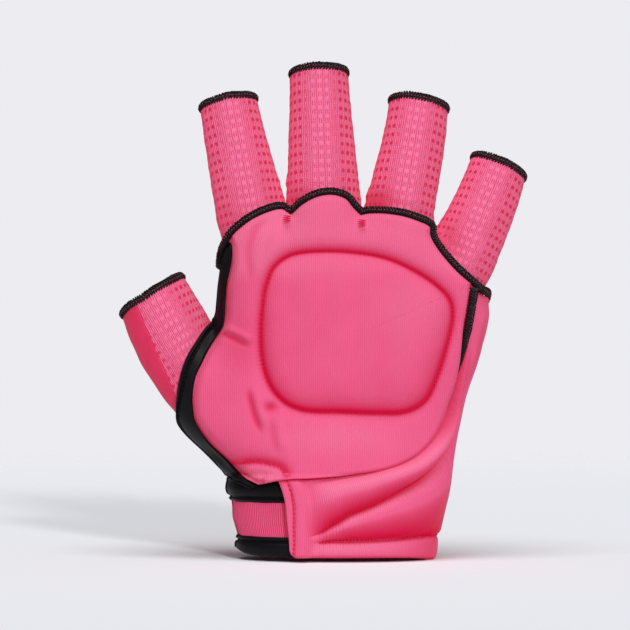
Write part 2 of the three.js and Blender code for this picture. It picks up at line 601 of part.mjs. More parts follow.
// The overlocked edge of an open fingertip, a rolled ring over the end of the sleeve.
function tipHem(name) {
  const digit = DIGITS[name];
  const field = digitForm(name);
  const loops = Array.from({ length: AROUND }, (_, i) => HEM_SECTION.map(
    ({ down, level }) => onDigit(field, digit, digit.length - down, (360 * i) / AROUND, level),
  ));
  return loft(loops, true);
}

// The seam's angle on the back of the thumb, at a share of the sleeve's height.
function thumbSeamAngle(share) {
  return -THREE.MathUtils.radToDeg(Math.acos(mix(THUMB_SEAM.root, THUMB_SEAM.tip, share)));
}

function thumbPart(columns, from, to) {
  const angles = [];
  for (let i = 0; i <= columns; i += 1) {
    angles.push((share) => mix(from(share), to(share), i / columns));
  }
  return sleeve("thumb", angles, false);
}

function backLift(x, z) {
  const down = 1 - THREE.MathUtils.smoothstep(z, BACK_LIFT.low, BACK_LIFT.high);
  return BACK_LIFT.lift * down * THREE.MathUtils.smoothstep(x, BACK_LIFT.outer, BACK_LIFT.inner);
}

// A curved panel, seen from one side, as rings about a centre. rings give the share of the way to the
// pad's groove or on to the edge, and the wall's outer level there.
function ringPanel(outline, centre, turn, rings, count, innerLevel) {
  const loops = sampled(outline, count).map((edge) => {
    const outer = [];
    const inner = [];
    for (const ring of rings(edge)) {
      const x = mix(centre.x, edge.x, ring.share);
      const z = mix(centre.z, edge.z, ring.share);
      outer.push(onHand(x, z, turn, innerLevel(x, z) + ring.level));
      inner.push(onHand(x, z, turn, innerLevel(x, z)));
    }
    return [...outer, ...inner.reverse()];
  });
  return loft(loops, true);
}

// A run of an outline moved aside by a width, to the right of its way.
function aside(run, width) {
  return run.map((p, i) => {
    const a = run[Math.max(i - 1, 0)];
    const b = run[Math.min(i + 1, run.length - 1)];
    const k = width / Math.hypot(b.x - a.x, b.z - a.z);
    return { ...p, x: p.x + (b.z - a.z) * k, z: p.z - (b.x - a.x) * k };
  });
}

function backPanel() {
  const top = aside(KNUCKLE_SEAM, OVERLOCK.radius + EDGE_GAP).slice(1, -1);
  const outline = [...top, ...PANEL_RIGHT_AND_BOTTOM, ...PANEL_LEFT];
  const groove = radiusOf(PAD, PANEL_CENTRE);
  const rings = (edge) => {
    const radius = Math.hypot(edge.x - PANEL_CENTRE.x, edge.z - PANEL_CENTRE.z);
    const at = groove(Math.atan2(edge.z - PANEL_CENTRE.z, edge.x - PANEL_CENTRE.x));
    const beyond = radius - at - BACK.grooveHalf - BACK.edgeRound;
    const places = [
      { r: 0, level: BACK.pad }, { r: at * 0.5, level: BACK.pad },
      { r: at - BACK.padRimWide, level: BACK.padRim },
      { r: at - BACK.grooveHalf, level: BACK.field }, { r: at, level: BACK.groove },
      { r: at + BACK.grooveHalf, level: BACK.field },
      { r: at + BACK.grooveHalf + beyond * 0.5, level: BACK.field },
      { r: radius - BACK.edgeRound, level: BACK.fieldRim }, { r: radius, level: BACK.edge },
    ];
    return places.map(({ r, level }) => ({ share: r / radius, level }));
  };
  return ringPanel(outline, PANEL_CENTRE, -90, rings, PANEL_SAMPLES, (x, z) => LAY_GAP + backLift(x, z));
}

function palmPanel() {
  const rings = () => PALM_SKIN.rings.map((share) => ({ share, level: PALM_SKIN.wall }));
  const lay = LAY_GAP + PALM_SKIN.clear;
  return ringPanel(PALM_OUTLINE, PALM_CENTRE, 90, rings, PALM_SAMPLES, () => lay);
}

// The binding turns from the back of the hand round its edge, rung by rung.
function thumbBinding() {
  const loops = BINDING.map(({ xi, zi, xo, zo, turn }) => {
    const outer = [];
    const inner = [];
    for (let i = 0; i <= BOUND.columns; i += 1) {
      const c = i / BOUND.columns;
      const x = mix(xi, xo, c * (1 - turn / FULL_TURN));
      const z = mix(zi, zo, c);
      const base = LAY_GAP + backLift(x, z) + BOUND.clear;
      outer.push(onHand(x, z, -90 - turn * c, base + BOUND.wall, rootForm));
      inner.push(onHand(x, z, -90 - turn * c, base, rootForm));
    }
    return [...outer, ...inner.reverse()];
  });
  return loft(loops, false);
}

// The heights and outer levels of one column of the strap, with its two grooves.
function strapRows({ top, hem, fold, deep, low = 0 }) {
  const full = STRAP.thickness;
  const cut = STRAP.groove * deep;
  const half = STRAP.grooveHalf;
  const upper = Math.max(fold, hem + STRAP.hemToFold);
  const between = (share) => ({ z: mix(hem + half, upper - half, share), level: full });
  return [
    { z: low, level: STRAP.foot }, { z: low + STRAP.footHigh, level: STRAP.hem },
    { z: hem - half, level: STRAP.hem },
    { z: hem, level: full - cut }, between(0), between(0.3), between(0.6), between(1),
    { z: upper, level: full - cut }, { z: upper + half, level: full },
    { z: mix(upper + half, top - STRAP.roundTop, 0.5), level: full + STRAP.swell * deep },
    { z: top - STRAP.roundTop, level: full }, { z: top, level: STRAP.edge },
  ];
}

function wristStrap() {
  const last = STRAP_COLUMNS.length - 1;
  const loops = STRAP_COLUMNS.map((column, i) => {
    const top = column.angle ?? angleAt("front", column.x, column.top, LAY_GAP);
    const fromEnd = Math.min(i, last - i);
    const base = LAY_GAP + (fromEnd < STRAP_END_LIFT.columns ? STRAP_END_LIFT.lift : 0);
    const outer = [];
    const inner = [];
    for (const { z, level } of strapRows(column)) {
      const angle = mix(column.foot, top, (z / column.top) ** STRAP_FAN);
      outer.push(onSection(angle, z, base + level));
      inner.push(onSection(angle, z, base));
    }
    return [...outer, ...inner.reverse()];
  });
  return loft(loops, false);
}

// A band round the thumb side of the wrist. profile gives its outer rows.
function wristBand(profile) {
  const middle = (ELASTIC.low + ELASTIC.top) / 2;
  const from = angleAt("front", ELASTIC_RUN.front, middle, LAY_GAP);
  const to = angleAt("back", ELASTIC_RUN.back, middle, LAY_GAP) - 360;
  const loops = [];
  for (let i = 0; i <= ELASTIC_RUN.columns; i += 1) {
    const angle = mix(from, to, i / ELASTIC_RUN.columns);
    const outer = profile.map(({ z, level }) => onSection(angle, z, LAY_GAP + level));
    const inner = profile.map(({ z }) => onSection(angle, z, LAY_GAP)).reverse();
    loops.push([...outer, ...inner]);
  }
  return loft(loops, false);
}

function boundEdge(low, high) {
  return [
    { z: low, level: ELASTIC.rim }, { z: low + ELASTIC.rimHigh, level: ELASTIC.bindingWall },
    { z: high - ELASTIC.rimHigh, level: ELASTIC.bindingWall }, { z: high, level: ELASTIC.rim },
  ];
}

// The overlocked seam round the finger bases, a closed cord.
function baseSeam() {
  const level = LAY_GAP + OVERLOCK.radius + OVERLOCK.clear;
  const front = KNUCKLE_SEAM.map(({ x, z }) => onHand(x, z, -90, level));
  const round = SEAM_ROUND.map(({ x, z, turn }) => onHand(x, z, turn, level));
  const runs = new THREE.CatmullRomCurve3([...front, ...round], true, "centripetal");
  const points = runs.getSpacedPoints(OVERLOCK.samples).slice(0, -1);
  return cord(points, points.map(() => OVERLOCK.radius), OVERLOCK.sides, true);
}

function slitSeam() {
  const points = SLIT_SEAM.map(({ x, z }) => onHand(x, z, -90, SLIT_LEVEL));
  const radii = points.map((_, i) => mix(SEAM_CORD.top, SEAM_CORD.bottom, i / (points.length - 1)));
  return cord(points, radii, OVERLOCK.sides, false);
}

const FINISHES = {
  knit: { color: 0xf0648f, roughness: 0.85 },
  neoprene: { color: 0xf25f8d, roughness: 0.8 },
  smooth: { color: 0xdc2462, roughness: 0.6 },
  binding: { color: 0x1d1c20, roughness: 0.55 },
  elastic: { color: 0xe8518b, roughness: 0.8 },
  thread: { color: 0x1a1014, roughness: 0.7 },
};

const glove = new THREE.Group();

function add(name, geometry, finish) {
  const material = new THREE.MeshStandardMaterial({ ...FINISHES[finish], metalness: 0 });
  const mesh = new THREE.Mesh(geometry, material);
  mesh.name = name;
  glove.add(mesh);
}

for (const name of FINGERS) add(`${name}_sleeve`, fingerSleeve(name), "knit");
for (const name of Object.keys(DIGITS)) add(`${name}_tip_hem`, tipHem(name), "thread");

const knitUnder = () => THUMB_SEAM.under;
const knitFront = (share) => thumbSeamAngle(share) + THUMB_SEAM.gap;
const smoothUnder = () => THUMB_SEAM.under + THUMB_SEAM.gap - 360;
const smoothFront = (share) => thumbSeamAngle(share) - THUMB_SEAM.gap;
add("thumb_sleeve", thumbPart(THUMB_COLUMNS.knit, knitFront, knitUnder), "knit");
add("thumb_side_panel", thumbPart(THUMB_COLUMNS.smooth, smoothUnder, smoothFront), "smooth");

add("back_panel", backPanel(), "neoprene");
add("palm_panel", palmPanel(), "smooth");
add("thumb_binding", thumbBinding(), "binding");
add("wrist_strap", wristStrap(), "neoprene");

const half = EDGE_GAP / 2;
const band = [
  { z: ELASTIC.middle + half, level: ELASTIC.wall }, { z: ELASTIC.high - half, level: ELASTIC.wall },
];
add("elastic_band", wristBand(band), "elastic");
add("elastic_lower_binding", wristBand(boundEdge(ELASTIC.low, ELASTIC.middle - half)), "binding");
add("elastic_upper_binding", wristBand(boundEdge(ELASTIC.high + half, ELASTIC.top)), "binding");
add("finger_base_seam", baseSeam(), "thread");
add("slit_seam", slitSeam(), "thread");

export default glove;
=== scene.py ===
import math

import bmesh
import bpy
import numpy as np
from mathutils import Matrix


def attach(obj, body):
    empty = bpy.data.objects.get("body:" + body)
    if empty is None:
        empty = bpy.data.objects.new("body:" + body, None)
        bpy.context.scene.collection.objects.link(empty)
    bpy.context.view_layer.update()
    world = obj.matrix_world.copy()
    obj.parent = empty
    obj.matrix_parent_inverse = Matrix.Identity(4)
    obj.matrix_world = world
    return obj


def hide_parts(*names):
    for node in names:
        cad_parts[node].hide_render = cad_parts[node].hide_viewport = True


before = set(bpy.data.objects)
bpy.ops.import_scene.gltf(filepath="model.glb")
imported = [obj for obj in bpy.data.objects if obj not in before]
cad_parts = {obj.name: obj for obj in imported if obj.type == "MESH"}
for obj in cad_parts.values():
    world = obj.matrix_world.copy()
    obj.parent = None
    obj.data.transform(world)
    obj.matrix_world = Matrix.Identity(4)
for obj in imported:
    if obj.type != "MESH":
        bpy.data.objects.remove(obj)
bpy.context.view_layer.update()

# A field hockey glove for the right hand. Sizes are millimetres: +Z to the fingertips, -Y out of the back of
# the hand, the thumb at -X. Its hand form is the solids' too: every piece is laid on levels of its distance.
MM = 0.001
RANDOM = np.random.default_rng(31)


def table(names, rows):
    """Rows of numbers as named columns, and a column called row that counts them."""
    return {"row": np.arange(float(len(rows))), **dict(zip(names.split(), np.array(rows, float).T))}


PALM = table("z left right dorsal palmar power", [
    (0, -34.8, 33.4, 22, 21, 2.3), (8, -35.6, 34.2, 22, 21, 2.3), (15, -37.3, 35.7, 22, 21, 2.3),
    (23, -38.3, 37.2, 21.7, 20.6, 2.3), (31, -39.4, 38.4, 21, 20, 2.35), (38, -42, 39.3, 20, 19.6, 2.35),
    (46, -51.3, 40.5, 19, 19.2, 2.3), (53, -56, 42, 18.2, 18.8, 2.3), (61, -56, 44.2, 17.4, 18, 2.35),
    (76, -50, 49.3, 16.6, 16, 2.5), (91, -44.2, 52.5, 16.2, 14.6, 2.6), (106, -42.6, 53.2, 16, 13.6, 2.6),
    (118, -40.6, 46, 15, 12, 2.6), (125, -40, 39, 12.8, 10, 2.6), (131, -34, 32, 9, 7, 2.4),
])
PALM_TOP = 131
# Each digit's axis from root to tip, how far it bows, how softly it joins the palm, where its sleeve starts
# on its two sides, and its half-widths at shares of its length.
DIGITS = {
    "index": dict(root=(-30.8, -2.5, 118.6), tip=(-41.8, 7, 175.9), bow=1.2, blend=4, start=(-9, 8), widths=[
        (0, 11, 14.2, 12, 11), (0.15, 12.9, 13.8, 11.8, 10.9), (0.4, 12.8, 12.9, 11.3, 10.8),
        (0.75, 12.1, 11.2, 10.6, 10.2), (1, 11.4, 10.4, 10.2, 9.8)]),
    "middle": dict(root=(-5.3, -4, 119.7), tip=(-7.2, 6, 187.4), bow=1.5, blend=4, start=(7, 7), widths=[
        (0, 14, 14.4, 12.4, 11.2), (0.3, 13.5, 14, 11.9, 11), (0.7, 12, 12.1, 11, 10.5),
        (1, 11, 10.8, 10.4, 10)]),
    "ring": dict(root=(21.2, -3.5, 119.3), tip=(30.9, 7, 175.4), bow=1.3, blend=4, start=(7, 4), widths=[
        (0, 13.9, 13, 12.2, 11), (0.35, 12.8, 13, 11.6, 10.8), (0.75, 11, 12.7, 10.8, 10.3),
        (1, 10.9, 11.6, 10.3, 9.9)]),
    "little": dict(root=(43, -1, 106.2), tip=(62.2, 8.5, 151.4), bow=1, blend=4, start=(9, -9), widths=[
        (0, 13.4, 12.2, 12.4, 11.4), (0.15, 13, 13.5, 12, 11.2), (0.35, 12.3, 13.4, 11.4, 10.8),
        (0.7, 11, 12.8, 10.4, 10.2), (1, 10.8, 11, 9.8, 9.6)]),
    "thumb": dict(root=(-40, 2.5, 52), tip=(-71.9, 6, 102), bow=0.8, blend=3.5, start=(0, 34.5), widths=[
        (-0.35, 3, 3, 4, 4), (0, 12.8, 12, 11.5, 13), (0.25, 16.6, 13.2, 13.4, 14.3),
        (0.55, 17.8, 13.4, 13, 13.6), (0.78, 16.6, 13.8, 12.4, 12.6), (1, 13.8, 13.9, 12, 11.8)]),
}
FINGERS = ("index", "middle", "ring", "little")

# Outlines seen from the front, x and z. The lists in CORNERS name the points where an outline turns sharply.
KNUCKLE_SEAM = [
    (-45.2, 112.0), (-44.6, 116.4), (-42.6, 121.4), (-39.6, 125.3), (-33.4, 130.1), (-26.6, 133.3),
    (-21.0, 134.4), (-17.9, 132.2), (-14.4, 135.6),
    (-8.7, 138.7), (-2.3, 139.7), (3.4, 138.0), (6.6, 134.4), (8.9, 132.0), (11.4, 132.7), (17.9, 132.6),
    (25.5, 131.4), (33.1, 128.8), (35.9, 127.0), (36.0, 123.4), (38.6, 118.8), (42.8, 113.5), (47.1, 109.1),
    (51.4, 105.5), (54.6, 102.6),
]
KNUCKLE_CORNERS = (7, 13, 18)
PANEL_RIGHT = [
    (49.9, 104.6), (49.2, 100.0), (48.1, 93.8), (47.2, 88.2), (46.6, 80.7), (45.8, 73.6), (44.2, 66.6),
    (41.8, 59.8), (39.2, 52.6), (34.6, 44.9), (28.0, 39.2), (18.6, 35.4), (4.6, 33.1), (-10.0, 31.9),
    (-19.6, 31.4),
]
PANEL_LEFT = [
    (-29.7, 30.0), (-34.9, 32.6), (-41.0, 38.4), (-48.0, 45.1), (-53.0, 52.4), (-54.3, 57.2), (-54.4, 62.4),
    (-53.3, 69.2), (-50.7, 75.1), (-48.3, 80.0), (-45.4, 84.8), (-42.9, 88.9), (-42.1, 93.0), (-42.0, 98.3),
    (-41.6, 104.2), (-40.1, 110.5), (-39.8, 115.3), (-40.0, 121.0),
]
PANEL_CENTRE = (6.5, 85.5)
PAD = [
    (-28.2, 98.8), (-29.2, 87.4), (-28.7, 76.0), (-25.8, 66.5), (-20.1, 60.0), (-12.5, 57.0), (0.8, 56.4),
    (14.1, 55.9), (25.5, 56.4), (33.1, 60.8), (37.6, 70.3), (41.0, 81.7), (43.1, 92.4), (42.0, 98.8),
    (37.2, 104.1), (29.3, 109.4), (17.9, 114.4), (4.6, 116.7), (-8.7, 117.0), (-18.2, 115.5), (-24.2, 111.0),
    (-27.0, 104.5),
]
TUCK_LINE = [(-41.6, 36.2), (-38.8, 36.9), (-31.5, 37.8), (-25.2, 37.0), (-22.0, 36.0), (-20.1, 34.0),
             (-19.0, 31.0)]
PALM_CENTRE = (-2.0, 80.0)
PALM_OUTLINE = [
    (-38.6, 116.6), (-30.0, 124.4), (-19.5, 128.0), (-6.0, 129.6), (8.0, 129.0), (20.0, 126.8), (32.0, 122.2),
    (42.0, 113.0), (48.6, 102.0), (50.0, 96.5), (47.2, 87.0), (42.9, 72.0), (37.9, 56.0), (33.6, 43.0),
    (30.4, 34.6), (27.0, 31.9), (12.0, 31.6), (0.0, 31.6), (-12.0, 31.6), (-26.0, 31.9), (-37.5, 33.0),
    (-42.4, 38.4), (-47.8, 43.6), (-53.0, 49.4), (-57.6, 56.0), (-59.2, 62.4), (-57.0, 70.0), (-52.2, 77.6),
    (-47.2, 84.0), (-43.2, 90.6), (-41.2, 98.0), (-40.0, 108.0),
]
PALM_CORNERS = (0, 9, 15, 20)
# The binding beside the thumb, one row a rung: its two ends, and how far it turns round the hand's edge.
BINDING = table("xi zi xo zo turn", [
    (-40.0, 121.0, -43.0, 119.6, 125), (-39.8, 116.0, -43.6, 115.4, 130), (-40.6, 110.5, -44.0, 110.5, 132),
    (-42.1, 104.2, -45.2, 104.0, 132), (-42.6, 98.3, -45.9, 98.6, 125), (-42.7, 93.0, -46.6, 94.6, 105),
    (-43.4, 88.9, -47.8, 91.2, 12), (-45.9, 84.8, -50.6, 88.2, 0), (-48.8, 80.0, -53.8, 83.4, 0),
    (-51.2, 75.1, -57.4, 77.3, 0), (-53.8, 69.4, -59.8, 70.6, 0), (-54.9, 62.4, -61.4, 61.8, 0),
    (-54.7, 57.0, -60.9, 55.4, 20), (-53.5, 52.0, -58.4, 50.0, 80), (-48.5, 44.7, -51.9, 42.6, 120),
    (-41.8, 38.0, -43.6, 36.6, 120), (-37.4, 33.6, -39.8, 32.6, 110), (-34.4, 30.9, -37.4, 31.4, 25),
    (-31.0, 28.6, -33.4, 27.6, 0),
])
FULL_TURN = 132
# Lines that cut the thumb off for its binding, and the thumb's seams as the angle's cosine and as an angle.
THUMB_END = ((-48.8, 93.8), (-63.8, 66.8))
THUMB_END_TOP = 90.2
THUMB_SIDE = ((-46.2, 92.0), (-33.0, 50.0))
THUMB_SEAM = dict(tip=-0.54, root=-0.93, under=25)
# The wrist strap, one row a column round the wrist. foot is the section angle at the cuff's edge; across is x
# of the upper edge on the first rows and its angle on the others.
STRAP_ON_FRONT = 14
STRAP = table("foot across top hem fold deep low", [
    (-115.6, -22.4, 30.3, 8.6, 11, 0, 1.8), (-106.2, -14.9, 30.7, 7.4, 9.8, 0, 1.8),
    (-99, -8.8, 31.2, 7.6, 10.7, 0.6, 1.8), (-92, -3, 31.7, 8, 13.7, 0.95, 1.8),
    (-84, 4, 32.6, 8.1, 17.9, 1, 1.8),
    (-71, 12.4, 34, 8.3, 21.6, 1, 1.8), (-56, 22.1, 36.6, 8.6, 26.5, 1, 1.7),
    (-41, 29.9, 40.4, 9, 31.2, 1, 1.4),
    (-28, 36.3, 46.4, 9.2, 36.9, 1, 1), (-17, 41.3, 53.6, 9.2, 43.2, 0.9, 0.5),
    (-9, 43.9, 62, 9.1, 50.6, 0.72, 0),
    (-4, 46.2, 71, 9.2, 59, 0.55, 0), (0, 48.7, 82, 9.2, 68, 0.42, 0), (4, 50.8, 99, 9.2, 78, 0.34, 0),
    (8, -6, 100.5, 9.2, 83, 0.25, 0), (11, 8, 99.5, 9.2, 82, 0.2, 0), (14, 20, 95, 9.2, 78, 0, 0),
    (18, 27, 86, 9.2, 66, 0, 0), (22, 27, 71, 9.2, 52, 0, 0), (27, 28, 55, 9.2, 40, 0, 0),
    (34, 32, 41, 9.2, 30, 0, 0), (43, 41, 31.6, 9.2, 22, 0, 0), (60, 60, 30.6, 9.2, 20, 0, 0),
    (79, 79, 30.6, 9.2, 20, 0, 0), (96, 96, 30.6, 9.2, 20, 0, 0), (112, 112, 30.6, 9.2, 20, 0, 0),
    (123, 123, 30.6, 9.2, 20, 0, 0),
])
STRAP_FAN = 4
# Heights of the elastic's bindings, x of its two ends, and how far the cuff rises on the thumb's side.
ELASTIC = dict(low=1.9, middle=9.6, high=22.2, top=31.8, front=-18.0, back=-21.5, rise=2.6)
# The finger seam's way round the palm side: x, z and the turn about the hand.
SEAM_ROUND = [
    (53.4, 99.8, -30), (50.0, 98.4, 15), (49.6, 101.2, 65), (43.8, 114.0, 90), (33.2, 124.4, 90),
    (20.6, 129.0, 90), (8.2, 131.3, 90), (-6.0, 131.9, 90), (-19.8, 130.3, 90), (-31.0, 126.6, 90),
    (-36.0, 121.0, 125), (-36.0, 115.4, 165), (-38.0, 111.6, 205),
]
SLIT_SEAM = [(51.4, 103.4), (50.8, 98.8), (49.9, 93.0), (48.9, 87.4), (47.8, 81.7), (46.7, 76.5),
             (45.4, 71.5)]
# How far the slit's edge and its thickness lie off the form, from the top to the foot.
SLIT_LEVEL, SLIT_RADIUS = (4.6, 3.8, 2.3), (1.45, 1.25, 0.25)
LAY_GAP = 0.5
BACK_LIFT = dict(high=33.6, low=31.2, lift=2.9, outer=-41.0, inner=-37.0)
TIP_HEM = 3.4
# The swell of each piece's cloth: its pitch, its height and the number its dice are thrown with.
SWELL = dict(sleeve=(9, 0.16), hem=(16, 0.25), back=(22, 0.22, 4), palm=(20, 0.25, 12), strap=(18, 0.16, 8),
             elastic=(9, 0.2, 3), leather=(12, 0.08, 9))


# The hand form.

def read(rows, key, place, at):
    """A column of a table at places along it, by a cubic through its rows."""
    x, y = rows[place], rows[key]
    last = len(x) - 1
    before, after = np.maximum(np.arange(last + 1) - 1, 0), np.minimum(np.arange(last + 1) + 1, last)
    slope = (y[after] - y[before]) / (x[after] - x[before])
    at = np.clip(at, x[0], x[-1])
    i = np.clip(np.searchsorted(x, at) - 1, 0, last - 1)
    span = x[i + 1] - x[i]
    t = (at - x[i]) / span
    t2, t3 = t * t, t * t * t
    return ((2 * t3 - 3 * t2 + 1) * y[i] + (t3 - 2 * t2 + t) * span * slope[i]
            + (3 * t2 - 2 * t3) * y[i + 1] + (t3 - t2) * span * slope[i + 1])


def read_all(rows, keys, place, at):
    """Some columns of a table at places along it."""
    return {key: read(rows, key, place, at) for key in keys.split()}


def mixed(a, b, share):
    """One value passing into another."""
    return a * (1 - share) + b * share


def oval_distance(u, v, left, right, low, high, power):
    """Signed distance to an oval whose four half-widths differ, to first order."""
    a, b = np.where(u < 0, left, right), np.where(v < 0, low, high)
    pu, pv = np.abs(u) / a, np.abs(v) / b
    g = np.maximum((pu ** power + pv ** power) ** (1 / power), 1e-6)
    scale = g ** (1 - power)
    slope = np.hypot(pu ** (power - 1) / a * scale, pv ** (power - 1) / b * scale)
    return np.where(g < 1e-5, -np.minimum(a, b), (g - 1) / np.maximum(slope, 1e-9))


def palm_distance(p):
    row = read_all(PALM, "left right dorsal palmar power", "z", p[:, 2])
    half = (row["right"] - row["left"]) / 2
    across = p[:, 0] - (row["left"] + row["right"]) / 2
    side = oval_distance(across, p[:, 1], half, half, row["dorsal"], row["palmar"], row["power"])
    return np.maximum(side, p[:, 2] - PALM_TOP)


for digit in DIGITS.values():
    digit["from"], digit["to"] = np.array(digit["root"]), np.array(digit["tip"])
    flat = (digit["to"] - digit["from"]) * (1, 0, 1)
    digit["length"] = float(np.linalg.norm(flat))
    digit["along"] = flat / digit["length"]
    digit["across"] = np.array([digit["along"][2], 0, -digit["along"][0]])
    digit["widths"] = table("at left right dorsal palmar", digit["widths"])


def axis_point(digit, s):
    s = np.asarray(s, float)
    t = s / digit["length"]
    point = digit["from"] + s[..., None] * digit["along"]
    point[..., 1] = mixed(digit["from"][1], digit["to"][1], t) - digit["bow"] * 4 * t * (1 - t)
    return point


def digit_distance(digit, p):
    s = (p - digit["from"]) @ digit["along"]
    centre = axis_point(digit, s)
    w = read_all(digit["widths"], "left right dorsal palmar", "at", s / digit["length"]).values()
    return oval_distance((p - centre) @ digit["across"], p[:, 1] - centre[:, 1], *w, 2)


def smooth_union(a, b, blend):
    h = np.maximum(blend - np.abs(a - b), 0) / blend
    return np.minimum(a, b) - h * h * blend / 4


def union(p, thumb):
    d = smooth_union(palm_distance(p), thumb, DIGITS["thumb"]["blend"])
    for name in FINGERS:
        d = smooth_union(d, digit_distance(DIGITS[name], p), DIGITS[name]["blend"])
    return d


def form(p):
    return union(p, digit_distance(DIGITS["thumb"], p))


def left_of(line, p):
    """The distance to the left of a line that is seen from the front."""
    (ux, uz), (dx, dz) = line
    return ((p[:, 2] - uz) * (ux - dx) - (p[:, 0] - ux) * (uz - dz)) / math.hypot(ux - dx, uz - dz)


def root_form(p):
    """The form with the thumb cut off at the line of its binding."""
    end = np.maximum(left_of(THUMB_END, p), 2 * (p[:, 2] - THUMB_END_TOP))
    return union(p, np.maximum(digit_distance(DIGITS["thumb"], p), end))


# Half the width of the gap that is left between two neighbouring fingers.
PARTING = 0.15


def digit_form(name):
    """The form seen from inside one digit, parted from its neighbours halfway."""
    if name == "thumb":
        return lambda p: np.maximum(form(p), -left_of(THUMB_SIDE, p))
    at = FINGERS.index(name)
    others = [DIGITS[other] for other in FINGERS[max(at - 1, 0):at + 2] if other != name]

    def field(p):
        own = digit_distance(DIGITS[name], p)
        d = form(p)
        for other in others:
            d = np.maximum(d, (own - digit_distance(other, p) + 2 * PARTING) / 2)
        return d
    return field


def reach(field, origin, direction, level, step=1.2, limit=90, halvings=13):
    """How far along each ray from inside the form first reaches a level of a field."""
    far = np.zeros(len(origin))
    level = np.broadcast_to(level, far.shape)
    going = np.arange(len(origin))
    while len(going):
        inside = field(origin[going] + direction[going] * far[going, None]) < level[going]
        going = going[inside & (far[going] < limit)]
        far[going] += step
    near = np.maximum(far - step, 0)
    for _ in range(halvings):
        half = (near + far) / 2
        inside = field(origin + direction * half[:, None]) < level
        near, far = np.where(inside, half, near), np.where(inside, far, half)
    return far


def met(field, rays, level):
    """Where rays first reach a level of a field."""
    origin, way = rays
    return origin + way * reach(field, origin, way, level)[:, None]


def hand_rays(x, z, turn):
    """Rays across the hand: turn -90 looks out of its back, 0 at the little finger's side."""
    x, z, turn = np.broadcast_arrays(x, z, np.radians(turn))
    return np.stack([x, 0 * x, z], -1), np.stack([np.cos(turn), np.sin(turn), 0 * x], -1)


def section_rays(angle, z):
    """Rays from the flat middle of the hand's section towards places of its outline."""
    angle, z = np.broadcast_arrays(np.radians(angle), z)
    row = read_all(PALM, "left right dorsal palmar power", "z", z)
    c, s = np.cos(angle), np.sin(angle)
    half = (row["right"] - row["left"]) / 2
    depth = np.where(s < 0, row["dorsal"], row["palmar"])
    x = half * np.sign(c) * np.abs(c) ** (2 / row["power"])
    y = depth * np.sign(s) * np.abs(s) ** (2 / row["power"])
    flat = np.maximum(half - depth, 0)
    start = np.clip(x, -flat, flat)
    way = np.stack([x - start, y, 0 * x], -1)
    middle = (row["right"] + row["left"]) / 2
    return np.stack([middle + start, 0 * x, z], -1), way / np.linalg.norm(way, axis=-1, keepdims=True)


def digit_rays(digit):
    """Rays out of a digit's axis: theta 0 is the side away from the thumb, -90 the back of the hand."""
    def rays(theta, s):
        theta, s = np.broadcast_arrays(np.radians(theta), s)
        tangent = axis_point(digit, s + 0.5) - axis_point(digit, s - 0.5)
        deep = np.cross(tangent, digit["across"])
        deep /= np.linalg.norm(deep, axis=-1, keepdims=True)
        deep *= np.where(deep[..., 1:2] < 0, -1, 1)
        out = np.cos(theta)[..., None] * digit["across"] + np.sin(theta)[..., None] * deep
        return axis_point(digit, s), out
    return rays


class Wall:
    """Where rays set out by two numbers meet a field's levels, worked out on a grid and read anywhere."""

    def __init__(self, field, rays, first, second, levels, wrap=False):
        self.rays, self.wrap = rays, wrap
        self.levels = np.array(levels, float)
        self.first, self.second = (np.linspace(*span) for span in (first, second))
        if wrap:
            self.first = self.first[:-1]
        a, b = np.meshgrid(self.first, self.second, indexing="ij")
        origin, way = rays(a.ravel(), b.ravel())
        sheets = [reach(field, origin, way, level) for level in levels]
        self.far = np.array(sheets).reshape(len(levels), *a.shape)

    @staticmethod
    def lines(places, at, wrap):
        count = len(places)
        at = (at - places[0]) / (places[1] - places[0])
        i = np.floor(at).astype(int)
        if not wrap:
            i = np.clip(i, 0, count - 2)
        t = at - i
        t2, t3 = t * t, t * t * t
        weights = (-t / 2 + t2 - t3 / 2, 1 - 2.5 * t2 + 1.5 * t3, t / 2 + 2 * t2 - 1.5 * t3, (t3 - t2) / 2)
        places = [(i + k) % count if wrap else np.clip(i + k, 0, count - 1) for k in (-1, 0, 1, 2)]
        return list(zip(places, weights))

    def distance(self, a, b, level):
        total = 0
        for i, wi in self.lines(self.first, a, self.wrap):
            for j, wj in self.lines(self.second, b, False):
                share = 0
                for k, here in enumerate(self.levels):
                    others = np.delete(self.levels, k)
                    weight = np.prod([(level - other) / (here - other) for other in others], axis=0)
                    share = share + self.far[k, i, j] * weight
                total = total + wi * wj * share
        return total

    def __call__(self, a, b, level):
        a, b, level = np.broadcast_arrays(*(np.asarray(value, float) for value in (a, b, level)))
        origin, way = self.rays(a, b)
        return origin + way * self.distance(a, b, level)[..., None]


# Curves and lines.

def unit(v):
    return v / np.maximum(np.linalg.norm(v, axis=-1, keepdims=True), 1e-9)


def run_length(points, axis=0):
    """The length along points, from 0 at the first."""
    steps = np.linalg.norm(np.diff(points, axis=axis), axis=-1)
    return np.concatenate([0 * np.take(steps, [0], axis), np.cumsum(steps, axis)], axis)


def at_lengths(at, length, points):
    """Places on a run of points, at lengths along it."""
    return np.stack([np.interp(at, length, points[:, k]) for k in range(points.shape[1])], -1)


